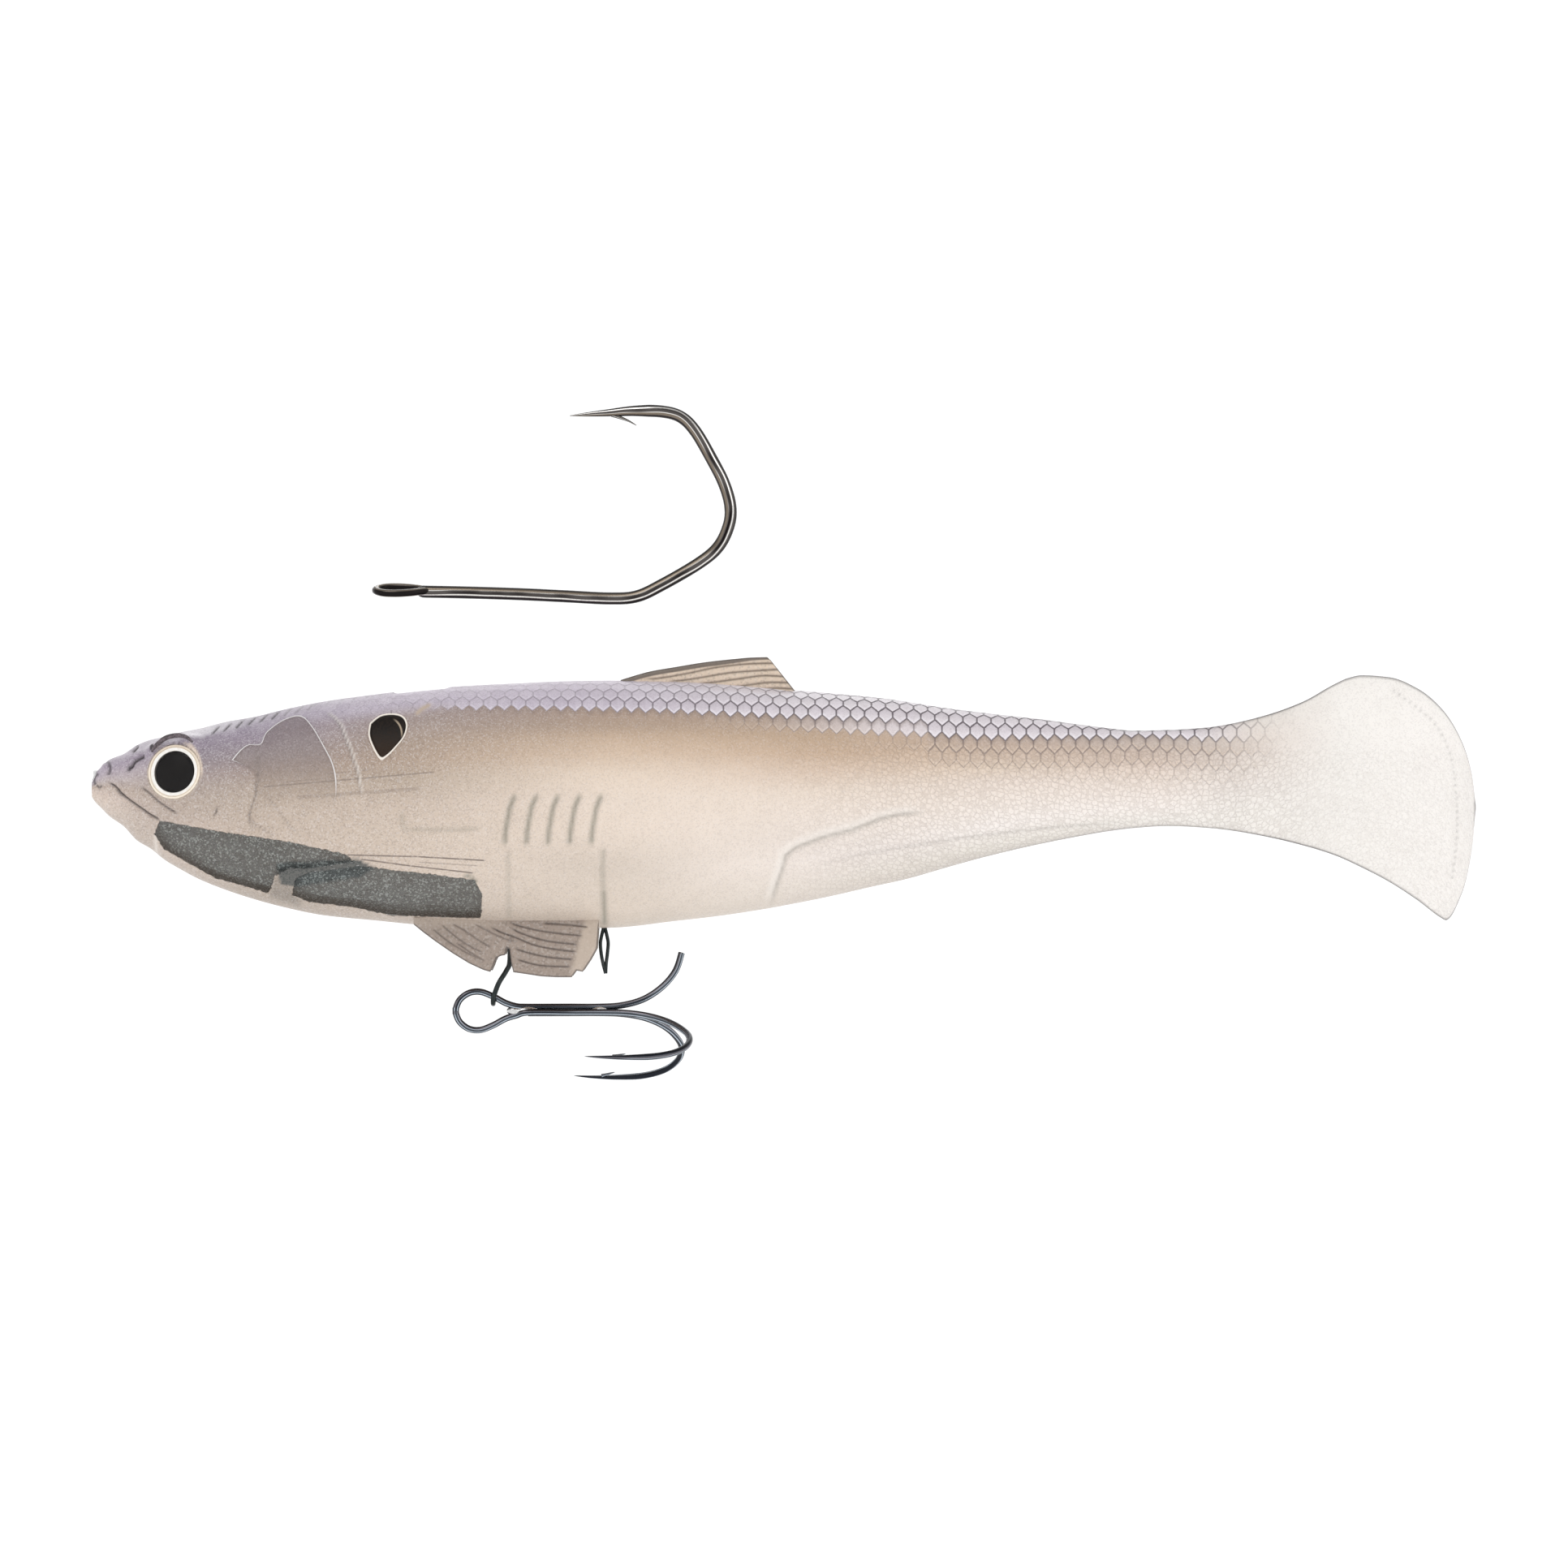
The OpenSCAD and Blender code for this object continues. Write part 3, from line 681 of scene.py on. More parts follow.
# upper lip stands proud of the lower one
d, t = seg_dist(X, Z, [(2.0, 0.2), (4.0, -1.0), (6.5, -2.9), (8.5, -4.3)])
D += 0.18 * np.exp(-(d / 0.55) ** 2) * flank
# small bump on the tip of the snout, between the nostril pits and the line hole
d = np.hypot(X - 1.4, Z - 1.7)
D += 0.22 * np.exp(-(d / 0.55) ** 2) * flank
# pale fold of the jaw
d, t = seg_dist(X, Z, [(9.9, -6.4), (8.9, -8.4), (8.9, -10.6)])
light = np.maximum(light, 0.40 * np.exp(-(d / 0.3) ** 2) * flank)

# slanted slits of the first scales behind the head, with painted shade in them
for k in range(9):
    x0, z0 = 16.9 + 1.72 * k, 6.25 + 0.43 * k
    f = 1.0 if k < 6 else 0.55 - 0.1 * (k - 6)
    groove([(x0, z0), (x0 + 1.15, z0 + 1.35)], 0.21, 0.14 * f, 1.0 * f, 0.2)
for k in range(14):
    x0, z0 = 20.0 + 1.9 * k, 8.2 + 0.32 * k
    groove([(x0, z0), (x0 + 1.1, z0 + 1.3)], 0.18, 0.06, 0.30, 0.3)

# second, faint gill arc: a low ridge with a painted highlight on it and painted shade just in front of it
d, t = seg_dist(X, Z, [(33.3, 9.7), (34.8, 8.8), (35.9, 7.6), (37.2, 4.6), (38.4, 1.2), (39.2, -3.2)])
w = np.exp(-(d / 0.17) ** 2) * smooth(0, 0.1, t) * smooth(0, 0.2, 1 - t) * flank
D += 0.07 * w
light = np.maximum(light, 0.55 * w)
d, t = seg_dist(X + 0.25, Z, [(33.3, 9.7), (34.8, 8.8), (35.9, 7.6), (37.2, 4.6), (38.4, 1.2), (39.2, -3.2)])
dark = np.maximum(dark, 0.42 * np.exp(-(d / 0.17) ** 2) * smooth(0, 0.1, t) * smooth(0, 0.2, 1 - t) * flank)

# folded anal fin moulded into the rear flank, a ridge with a painted highlight on it and painted shade below it
anal = [(96.8, -18.9), (97.8, -15.2), (98.9, -12.1), (99.2, -10.7), (100.8, -9.4), (104.6, -8.0),
        (108.9, -6.9), (113.0, -5.3), (115.8, -4.7), (118.4, -4.5), (120.1, -5.6)]
d, t = seg_dist(X, Z, anal)
k = smooth(0, 0.12, t) * smooth(0, 0.12, 1 - t) * flank
D += 0.26 * np.exp(-(d / 0.45) ** 2) * k
light = np.maximum(light, 0.40 * np.exp(-((d - 0.15) / 0.45) ** 2) * k)
d2, t2 = seg_dist(X - 0.45, Z + 0.42, anal)
D -= 0.14 * np.exp(-(d2 / 0.4) ** 2) * k
shade = np.maximum(shade, 0.42 * np.exp(-(d2 / 0.42) ** 2) * k)
dark = np.maximum(dark, 0.16 * np.exp(-(d2 / 0.16) ** 2) * k)
below = inside(X, Z, [(96.8, -18.9), (98.9, -12.1), (100.8, -9.4), (108.9, -6.9), (118.4, -4.5),
                      (120.1, -5.6), (112, -9.5), (104, -14.5), (99, -18.5)])
D += 0.10 * smooth(0.2, -0.8, below) * flank
# belly crease, with painted shade in it
d, t = seg_dist(X, Z, [(103, -12.6), (112, -10.7), (124.3, -8.7), (137, -7.2), (150.4, -6.2)])
k = smooth(0, 0.2, t) * smooth(0, 0.2, 1 - t) * flank
D -= 0.10 * np.exp(-(d / 0.3) ** 2) * k
dark = np.maximum(dark, 0.16 * np.exp(-(d / 0.25) ** 2) * k)

# small scrape in the paint behind the shoulder
d, t = seg_dist(X, Z, [(46.8, 9.4), (47.6, 10.1), (48.4, 10.5)])
light = np.maximum(light, 0.0 * d)
scrape = np.exp(-(d / 0.3) ** 2) * flank

# show-through of the tube, keeper coil and hanger legs, blurred by the plastic
def show(line, width, amount, taper=0.08):
    global shade
    d, t = seg_dist(X, Z, line)
    k = smooth(0, taper, t) * smooth(0, taper, 1 - t)
    shade = np.maximum(shade, amount * np.exp(-(d / width) ** 2) * k * flank)


show([(44.6, -4.6), (44.9, -7.0), (46.0, -7.6)], 0.45, 0.26, 0.2)
show([(44.8, -7.3), (50, -7.4), (56.5, -7.2)], 0.35, 0.34, 0.15)
# five plain slanted turns of the keeper, seen blurred through the flank
for top, foot in ((61.1, 59.4), (64.2, 62.5), (67.3, 65.6), (70.4, 68.7), (73.5, 71.8)):
    show([(top, -2.0), (0.45 * top + 0.55 * foot, -4.2), (foot + 0.15, -7.6), (foot, -9.9)], 0.38, 0.85, 0.12)
show([(59.85, -10.0), (59.85, -15), (59.85, -20.6)], 0.34, 0.30, 0.1)
show([(73.6, -9.8), (73.4, -13.0), (73.5, -17)], 0.40, 0.42, 0.1)
show([(73.5, -15.5), (73.6, -18.5), (73.6, -21.6)], 0.42, 0.75, 0.15)
show([(53.5, -13.9), (54.6, -14.3), (55.4, -15.2)], 0.30, 0.9, 0.1)

# tail: rim and a row of small pits inside the trailing edge, with painted shade in the pits
tail_in = pchip([(180, 0), (199.4, 0)])
rim_line = [(187.4, 12.7), (191.3, 9.9), (194.1, 7.0), (195.6, 3.6), (196.3, 0.3), (196.7, -6.2),
            (196.4, -10.8), (195.9, -14.8)]
rl = catmull(rim_line, 10)
cum = np.concatenate([[0], np.cumsum(np.hypot(*np.diff(rl, axis=0).T))])
for q in np.arange(0.2, cum[-1], 0.95):
    px, pz = np.interp(q, cum, rl[:, 0]), np.interp(q, cum, rl[:, 1])
    near = np.exp(-(((X - px) ** 2 + (Z - pz) ** 2) / 0.20 ** 2))
    dark = np.maximum(dark, 0.34 * near * flank)
    D -= 0.05 * near * flank
# darker line along the thin outer edges of the body and tail: painted shade
edge_d = np.minimum(np.minimum(ZT - Z, Z - ZB), (199.45 - X) * 0.9)
tail_zone = smooth(158, 172, X)
dark = np.maximum(dark, (0.95 * tail_zone + 0.50 * smooth(112, 150, X) * (1 - tail_zone))
                  * np.exp(-(np.clip(edge_d, 0, 9) / 0.20) ** 2) * flank)

# eye: socket, raised lid and rim
EC = np.array([11.75, 6.7, 0.94])
ra, rc = math.radians(-80), math.radians(17)
RX = np.array([[1, 0, 0], [0, math.cos(ra), -math.sin(ra)], [0, math.sin(ra), math.cos(ra)]])
RZ = np.array([[math.cos(rc), -math.sin(rc), 0], [math.sin(rc), math.cos(rc), 0], [0, 0, 1]])
EM = RZ @ RX                      # local to part, +Y side

D = D * smooth(0.0, 0.5, V - V[:, NS - 1:NS]) * flank
P = P + N * D[..., None]

loc = (P - EC) @ EM
rho = np.hypot(loc[..., 0], loc[..., 1])
deg = np.degrees(np.arctan2(-loc[..., 1], loc[..., 0]))       # 90 up, 180 to the nose
near = (np.abs(X - EC[0]) < 8) & flank & (np.abs(loc[..., 2]) < 4)
face = near & (loc[..., 2] > -1.3)
BROW = [(8.45, 3.75), (8.75, 4.35), (9.35, 4.98), (10.57, 5.85), (12.24, 6.2), (13.54, 5.92), (14.4, 5.2)]
db, tb = seg_dist(X, Z, catmull(BROW, 8))
BEIGE = [(8.9, 4.0), (9.7, 4.75), (10.85, 5.25), (12.45, 5.45), (13.95, 4.85), (14.85, 3.6), (15.35, 2.3), (15.55, 0.9), (15.2, -0.6)]
dg, tg = seg_dist(X, Z, catmull(BEIGE, 8))
INNER = [(9.6, 4.45), (10.55, 4.85), (12.45, 4.95), (14.05, 4.25), (14.9, 3.05), (15.2, 1.6)]
di, ti = seg_dist(X, Z, catmull(INNER, 8))
lid = smooth(35, 62, deg) * (1 - smooth(140, 160, deg))
target = 0.04 + 0.50 * lid * np.exp(-((rho - 5.15) / 0.55) ** 2)
wgt = smooth(5.6, 3.95, rho) * near
blend_lid = np.maximum(wgt, lid * smooth(6.6, 5.4, rho) * near * 0.85)
newz = loc[..., 2] * (1 - blend_lid) + target * blend_lid
newz = np.where((rho < 3.74) & near, -1.72, newz)
loc2 = loc.copy()
loc2[..., 2] = np.where(near, newz, loc[..., 2])
P = np.where(near[..., None], loc2 @ EM.T + EC, P)
# painted shade: the dark arc under the brow, the thin line just inside it over the rim, and the line round the rim's
# outer edge
thick_b = 0.40 * np.sin(np.clip(tb, 0, 1) * math.pi) ** 0.5
dark = np.maximum(dark, np.where(face, smooth(thick_b + 0.10, thick_b - 0.10, db) * 0.97, 0))
dark = np.maximum(dark, np.where(face, 0.62 * np.exp(-(di / 0.11) ** 2) * smooth(0, 0.2, ti) * smooth(0, 0.15, 1 - ti), 0))
dark = np.maximum(dark, np.where(near, 0.45 * np.exp(-((rho - 3.98) / 0.12) ** 2), 0))
beige_ring = np.where(face, np.maximum(smooth(0.55, 0.25, dg) * smooth(0, 0.05, tg) * smooth(0, 0.2, 1 - tg) * 0.95,
                                       smooth(4.2, 4.0, rho) * 0.8), 0)

# shoulder spot: a shallow recess for its dark insert
SC = np.array([42.5, 9.75, 6.3])
ra, rc = math.radians(-61), math.radians(2)
RX = np.array([[1, 0, 0], [0, math.cos(ra), -math.sin(ra)], [0, math.sin(ra), math.cos(ra)]])
RZ = np.array([[math.cos(rc), -math.sin(rc), 0], [math.sin(rc), math.cos(rc), 0], [0, 0, 1]])
SM = RZ @ RX
SPOT = [(-2.6, -1.9), (-1.2, -3.3), (0.6, -3.6), (2.2, -3.0), (2.9, -1.4), (2.5, 0.6), (1.2, 2.4),
        (0, 3.6), (-0.9, 3.9), (-1.9, 2.4), (-2.7, 0.2)]
SPOT = catmull(SPOT + SPOT[:1], 10)[:-1]
ls = (P - SC) @ SM
sd = inside(ls[..., 0], ls[..., 1], SPOT)
nears = (np.abs(X - SC[0]) < 6) & flank & (np.abs(ls[..., 2]) < 3)
P = P - np.where(nears, 0.42 * smooth(0.05, -0.30, sd), 0)[..., None] * SM[:, 2]

# nose: the line hole is a pit lined by the tube
rb = np.hypot(P[..., 1], P[..., 2])
pit = (X < 2.2) & flank & (rb < 1.25)
P[..., 0] += np.where(pit, 5.0 * smooth(0.98, 0.72, rb), 0)
sc = np.where(pit & (rb > 1e-6), np.where(rb < 0.9, np.minimum(rb, 0.70) / np.maximum(rb, 1e-6), 1.0), 1.0)
P[..., 1] *= sc
P[..., 2] *= sc

# ---- colours ---------------------------------------------------------------

# Colour down the flank at stations along the fish, by share of the depth; the darkening in the last stops towards the
# belly is painted shade
T_STOPS = [0.0, 0.13, 0.22, 0.30, 0.38, 0.48, 0.62, 0.80, 0.93, 1.0]
STATIONS = {
    4: [(172, 160, 175), (170, 158, 172), (178, 166, 175), (180, 168, 172), (178, 165, 162),
        (182, 166, 155), (200, 183, 172), (208, 192, 180), (205, 190, 178), (195, 182, 172)],
    24: [(160, 150, 166), (152, 140, 152), (142, 128, 130), (160, 143, 135), (176, 160, 147),
         (184, 168, 154), (188, 172, 158), (192, 176, 162), (178, 164, 151), (165, 152, 140)],
    44: [(168, 155, 160), (160, 145, 140), (162, 144, 130), (176, 156, 139), (185, 168, 152),
         (198, 181, 166), (200, 184, 169), (198, 182, 168), (190, 176, 163), (180, 166, 154)],
    75: [(172, 158, 150), (172, 150, 135), (200, 175, 152), (211, 188, 166), (220, 203, 186),
         (220, 205, 191), (222, 207, 193), (224, 210, 196), (214, 200, 186), (205, 192, 178)],
    106: [(178, 162, 152), (180, 160, 146), (188, 163, 139), (200, 174, 150), (215, 193, 174),
          (226, 211, 197), (232, 220, 210), (235, 225, 218), (222, 213, 204), (208, 198, 188)],
    130: [(190, 178, 172), (194, 176, 165), (196, 173, 155), (203, 182, 164), (215, 197, 180),
          (223, 209, 198), (231, 220, 211), (237, 230, 225), (226, 220, 212), (205, 198, 190)],
    154: [(200, 188, 182), (203, 188, 178), (202, 184, 171), (208, 190, 177), (216, 199, 187),
          (225, 211, 200), (231, 220, 212), (236, 228, 222), (232, 227, 221), (220, 214, 208)],
    168: [(222, 215, 208), (224, 214, 206), (226, 215, 206), (230, 219, 211), (233, 223, 215),
          (236, 227, 220), (239, 232, 226), (241, 236, 230), (240, 235, 229), (236, 231, 226)],
    180: [(242, 238, 233)] * 10,
    199: [(247, 243, 239)] * 10,
}
tt = np.clip((ZT - Z) / (ZT - ZB), 0, 1)
sx = np.array(sorted(STATIONS))
grid_cols = np.array([[lin(c) for c in STATIONS[s]] for s in sx])      # stations, stops, rgb
tint = np.zeros((*X.shape, 3))
fx = np.clip(np.interp(X, sx, np.arange(len(sx))), 0, len(sx) - 1 - 1e-6)
i0 = fx.astype(int)
fx = fx - i0
for ch in range(3):
    lo = np.zeros_like(X)
    hi = np.zeros_like(X)
    for s in range(len(sx)):
        val = np.interp(tt, T_STOPS, grid_cols[s, :, ch])
        lo = np.where(i0 == s, val, lo)
        hi = np.where(i0 + 1 == s, val, hi)
    tint[..., ch] = lo * (1 - fx) + hi * fx


def spread(cx, cz, wx, wz):
    return np.exp(-((X - cx) / wx) ** 2 - ((Z - cz) / wz) ** 2)


tone = (1 - 0.20 * spread(75, 7.6, 24, 1.9) - 0.08 * spread(75, 4, 25, 3) - 0.16 * spread(75, -13, 13, 4)
        - 0.10 * spread(45, 0, 12, 5) - 0.17 * spread(8, -6.5, 6, 4) - 0.09 * spread(16, -3, 8, 4)
        - 0.08 * spread(106, -9, 16, 4) - 0.11 * spread(165, 0, 7, 9) - 0.06 * spread(106, 2, 14, 5)
        - 0.20 * spread(15, 3.5, 7, 4))
tint = tint * tone[..., None]
b = beige_ring[..., None]
tint = tint * (1 - b) + lin((226, 208, 190)) * b
tint = np.where((np.arange(ROWS) >= NS + NR - 1)[None, :, None], lin((196, 182, 170)), tint)

THROAT = [(8.7, -8), (9.6, -6.1), (20.6, -8), (28.3, -9.1), (36.6, -10.9), (38, -12), (31, -13),
          (28.3, -12.9), (26.2, -14.1), (25.6, -15.9), (25.0, -16.6), (24, -16.2), (17.4, -14.35),
          (10.1, -10.2)]
BELLYW = [(29.2, -14.4), (31.5, -13.5), (38.5, -12.6), (48.3, -13.7), (55, -14.6), (56.1, -16.7),
          (55.8, -20.2), (52.3, -20.1), (42.9, -19.8), (37.5, -18.6), (31, -17.8), (28.6, -16.8)]
JOINW = [(26.5, -12.2), (31, -12.0), (38.3, -11.6), (40.5, -12.9), (38.5, -14.2), (31.5, -15.2), (29.4, -15.6),
         (27.0, -15.2)]
wd = np.where(flank, np.minimum(inside(X, Z, THROAT), inside(X, Z, BELLYW)), 1.5)
window = smooth(0.22, -0.18, wd) * flank
# the thin gap between the weights is dark too, in their shadow
gapw = smooth(0.25, -0.15, inside(X, Z, JOINW)) * flank
mottle = inside(X, Z, [(24.8, -13.5), (29.5, -13.2), (30.5, -15.5), (29.6, -18.6), (25.4, -17.2)])
gapw = np.maximum(gapw, 0.42 * smooth(0.6, -0.8, mottle) * flank * (1 - window))
alpha = np.ones_like(X)
alpha = alpha * (1 - 0.22 * smooth(166, 180, X) * flank)

# ---- assemble the skin -----------------------------------------------------

def half_faces(sign):
    f = []
    for c in range(NC - 1):
        for r in range(ROWS - 1):
            a, b2, c2, d2 = c * ROWS + r, c * ROWS + r + 1, (c + 1) * ROWS + r + 1, (c + 1) * ROWS + r
            f.append((a, b2, c2, d2) if sign > 0 else (a, d2, c2, b2))
    return f


PL = P.copy()
PL[..., 1] *= -1
RL = REST.copy()
RL[..., 1] *= -1
both = np.vstack([P.reshape(-1, 3), PL.reshape(-1, 3)])
both[np.abs(both[:, 1]) < 1e-6, 1] = 0
nh = NC * ROWS
faces = half_faces(1) + [tuple(i + nh for i in f) for f in half_faces(-1)]
two = lambda a: np.concatenate([a.reshape(nh, -1), a.reshape(nh, -1)]).squeeze()
attrs = {
    "rest": np.vstack([REST.reshape(-1, 3), RL.reshape(-1, 3)]),
    "suv": two(np.stack([X, W, V], axis=2)),
    "amts": two(np.stack([gapw, net, jag], axis=2)),
    "col_tint": two(tint),
    "solid": two(alpha),
    "wind": two(np.clip(wd, -1.5, 1.5)),
    "dark": two(np.clip(dark, 0, 1)),
    "light": two(np.clip(light, 0, 1)),
    "shade": two(np.clip(shade, 0, 1)),
    "scrape": two(np.clip(scrape, 0, 1)),
}
col_of = np.concatenate([np.repeat(np.arange(NC), ROWS)] * 2)
row_of = np.concatenate([np.tile(np.arange(ROWS), NC)] * 2)
wv, wf, wa, first = weld(both, faces, attrs)
wcol = col_of[first]
# face centre columns by x at rest
rest_x = wa["rest"][:, 0]

fa = np.array([f if len(f) == 4 else (*f, f[-1]) for f in wf])
nrm = np.zeros_like(wv)
e1, e2 = wv[fa[:, 2]] - wv[fa[:, 0]], wv[fa[:, 3]] - wv[fa[:, 1]]
fn = np.cross(e1, e2)
tri = np.array([len(f) == 3 for f in wf])
fn[tri] = np.cross(wv[fa[tri, 1]] - wv[fa[tri, 0]], wv[fa[tri, 2]] - wv[fa[tri, 0]])
for k in range(4):
    np.add.at(nrm, fa[:, k], fn)
nrm /= np.linalg.norm(nrm, axis=1)[:, None] + 1e-15


def cap_ring(ci):
    """Rows of one column on both sides, as welded vertex numbers."""
    right = [ci * ROWS + r for r in range(ROWS)]
    left = [nh + ci * ROWS + r for r in range(ROWS)]
    return right, left


_key = np.round(both / 1e-4).astype(np.int64)
_, _, inv_all = np.unique(_key, axis=0, return_index=True, return_inverse=True)
inv_all = inv_all.ravel()


def skin_piece(name, x0, x1):
    c0, c1 = int(np.argmin(np.abs(cols - x0))), int(np.argmin(np.abs(cols - x1)))
    fmin = rest_x[fa].min(axis=1)
    fmax = rest_x[fa].max(axis=1)
    keep = (fmin >= cols[c0] - 1e-6) & (fmax <= cols[c1] + 1e-6)
    sel = [wf[i] for i in np.nonzero(keep)[0]]
    caps = []
    for ci, sgn in ((c0, -1), (c1, 1)):
        right, left = cap_ring(ci)
        for r in range(ROWS - 1):
            q = [inv_all[right[r]], inv_all[right[r + 1]], inv_all[left[r + 1]], inv_all[left[r]]]
            g = []
            for j in q:
                if not g or g[-1] != j:
                    g.append(int(j))
            if len(g) > 1 and g[0] == g[-1]:
                g.pop()
            if len(g) >= 3 and len(set(g)) == len(g):
                caps.append((tuple(g) if sgn < 0 else tuple(reversed(g)), sgn))
    used = np.unique(np.concatenate([np.array([i for f in sel for i in f]),
                                     np.array([i for f, _ in caps for i in f])]))
    remap = -np.ones(len(wv), int)
    remap[used] = np.arange(len(used))
    all_faces = [tuple(remap[list(f)]) for f in sel] + [tuple(remap[list(f)]) for f, _ in caps]
    ob = add_mesh(name, wv[used], all_faces, {k: v[used] for k, v in wa.items()})
    # The cap's rim is a sharp edge, so its flat normals don't tint the skin
    import bmesh
    bm = bmesh.new()
    bm.from_mesh(ob.data)
    for e in bm.edges:
        if len(e.link_faces) == 2:
            n0, n1 = (abs(q.normal.x) > 0.999 and min(v.co.x for v in q.verts) > max(v.co.x for v in q.verts) - 1e-7
                      for q in e.link_faces)
            if n0 != n1:
                e.smooth = False
    bm.to_mesh(ob.data)
    bm.free()
    loops = []
    nn = nrm[used]
    flat = [max(ob.data.vertices[i].co.x for i in p.vertices) - min(ob.data.vertices[i].co.x for i in p.vertices) < 1e-7
            and abs(p.normal.x) > 0.9 for p in ob.data.polygons]
    for p in ob.data.polygons:
        if not flat[p.index]:
            for li in p.loop_indices:
                loops.append(tuple(nn[ob.data.loops[li].vertex_index]))
        else:
            sgn = 1.0 if p.normal.x > 0 else -1.0
            for li in p.loop_indices:
                loops.append((sgn, 0.0, 0.0))
    ob.data.normals_split_custom_set(loops)
    return ob


skin_a = skin_piece("soft_body", -0.5, 126.0)
skin_b = skin_piece("soft_tail_stem", 126.0, 150.0)
skin_c = skin_piece("soft_tail_fin", 150.0, 199.4)

# ---- skin material ---------------------------------------------------------

def skin_material():
    g = Nodes("soft_plastic")
    u, w, v = g.xyz(g.attr("suv", "Vector"))
    gap, netn, jagn = g.xyz(g.attr("amts", "Vector"))
    rest = g.attr("rest", "Vector")
    M = g.math
    wob = g.noise(rest, 0.9, 2.0)
    ww = M("DIVIDE", M("ADD", w, M("MULTIPLY", M("SUBTRACT", wob, 0.5), 0.35)), SR)
    un = M("DIVIDE", M("SUBTRACT", u, U0), SP)
    tri = M("SUBTRACT", 1.0, M("MULTIPLY", M("ABSOLUTE", M("SUBTRACT", M("FRACT", M("ADD", un, 0.5)), 0.5)), 2.0))
    k1 = M("ADD", M("FLOOR", ww), 1.0)
    odd = M("MULTIPLY", M("FRACT", M("MULTIPLY", k1, 0.5)), 2.0)
    t1 = M("ADD", tri, M("MULTIPLY", odd, M("SUBTRACT", 1.0, M("MULTIPLY", tri, 2.0))))
    dr = SV / SR
    b1 = M("SUBTRACT", k1, M("MULTIPLY", M("SUBTRACT", 1.0, t1), dr))
    over = M("GREATER_THAN", ww, b1)
    row = M("ADD", k1, over)
    tr = M("ADD", t1, M("MULTIPLY", over, M("SUBTRACT", 1.0, M("MULTIPLY", t1, 2.0))))
    bo = M("ADD", b1, M("MULTIPLY", over, M("SUBTRACT", M("SUBTRACT", M("ADD", k1, 1.0), M("MULTIPLY", t1, dr)), b1)))
    bot = M("SUBTRACT", bo, ww)
    tp0 = M("SUBTRACT", M("SUBTRACT", k1, 1.0), M("MULTIPLY", t1, dr))
    tp = M("ADD", tp0, M("MULTIPLY", over, M("SUBTRACT", b1, tp0)))
    top = M("SUBTRACT", ww, tp)
    rise = M("DIVIDE", top, M("MAXIMUM", M("ADD", top, bot), 0.05))
    e_bot = M("MULTIPLY", bot, SR * 0.69)
    edge = M("MINIMUM", M("MULTIPLY", tr, SP / 2), M("MINIMUM", e_bot, M("MULTIPLY", top, SR * 0.69)))
    rough_e = M("MULTIPLY", M("SUBTRACT", g.noise(rest, 3.0, 2.0), 0.5), 0.10)
    line = g.ramp(M("ADD", edge, rough_e), 0.04, 0.18, 1.0, 0.0)
    # pale band just inside each scale's free lower edge: painted highlight
    pale = M("MULTIPLY", g.ramp(e_bot, 0.10, 0.18, 0.0, 1.0), g.ramp(e_bot, 0.22, 0.5, 1.0, 0.0))
    cell = g.white(g.vec(M("FLOOR", M("ADD", un, M("MULTIPLY", tr, 0.0))), row, 3.0))
    # how far each row lies below the lilac back, and how strongly its outlines show
    rel = M("SUBTRACT", row, M("GREATER_THAN", u, U0 + 7 * SP))
    low = M("MULTIPLY", M("DIVIDE", M("SUBTRACT", M("SUBTRACT", u, 68.0), M("MULTIPLY", rel, 18.0)), 18.0, clamp=True),
            M("SUBTRACT", 0.66, M("MULTIPLY", rel, 0.15), clamp=True))
    upr = M("ADD", g.ramp(u, 50.0, 100.0, 0.34, 0.90), M("MULTIPLY", g.ramp(u, 92.0, 112.0, 0.16, 0.0), rel))
    upr = M("MAXIMUM", upr, 0.10)
    is_low = M("GREATER_THAN", rel, 0.5)
    amp = M("ADD", upr, M("MULTIPLY", is_low, M("SUBTRACT", low, upr)))
    amp = M("MULTIPLY", amp, M("MULTIPLY", g.ramp(u, 26.0, 58.0, 0.0, 1.0), g.ramp(u, 158.0, 174.0, 1.0, 0.0)))
    # the next row takes on the lilac little by little before it joins the back fully
    fresh = M("MULTIPLY", M("LESS_THAN", M("ABSOLUTE", M("SUBTRACT", rel, 1.0)), 0.5), M("LESS_THAN", u, U0 + 7 * SP))
    hard = M("ADD", M("SUBTRACT", 1.0, is_low), M("MULTIPLY", fresh, g.ramp(u, 94.0, 120.2, 0.0, 0.80)))
    soft = g.ramp(w, -2.6, 1.0, 1.0, 0.0)
    lil = M("ADD", M("MULTIPLY", hard, jagn), M("MULTIPLY", soft, M("SUBTRACT", 1.0, jagn)))
    lil = M("MULTIPLY", lil, M("MULTIPLY", g.ramp(u, 156.0, 169.0, 1.0, 0.0), g.ramp(u, 0.0, 16.0, 0.25, 1.0)))
    lil_col = g.mix(g.ramp(u, 14.0, 50.0), lin4((142, 131, 146)), lin4((194, 184, 198)))
    lil_col = g.mix(g.ramp(u, 64.0, 110.0), lil_col, lin4((228, 221, 225)))
    # lighter along the top of the head and back: painted highlight
    crest_highlight = M("MAXIMUM", M("MULTIPLY", g.ramp(w, -3.0, -1.2, 1.0, 0.0), g.ramp(u, 15.0, 26.0, 0.66, 0.0)),
              M("MULTIPLY", g.ramp(w, -5.6, -2.6, 1.0, 0.0), g.ramp(u, 72.0, 100.0, 0.0, 0.40)))
    lil_col = g.mix(crest_highlight, lil_col, lin4((240, 237, 241)))
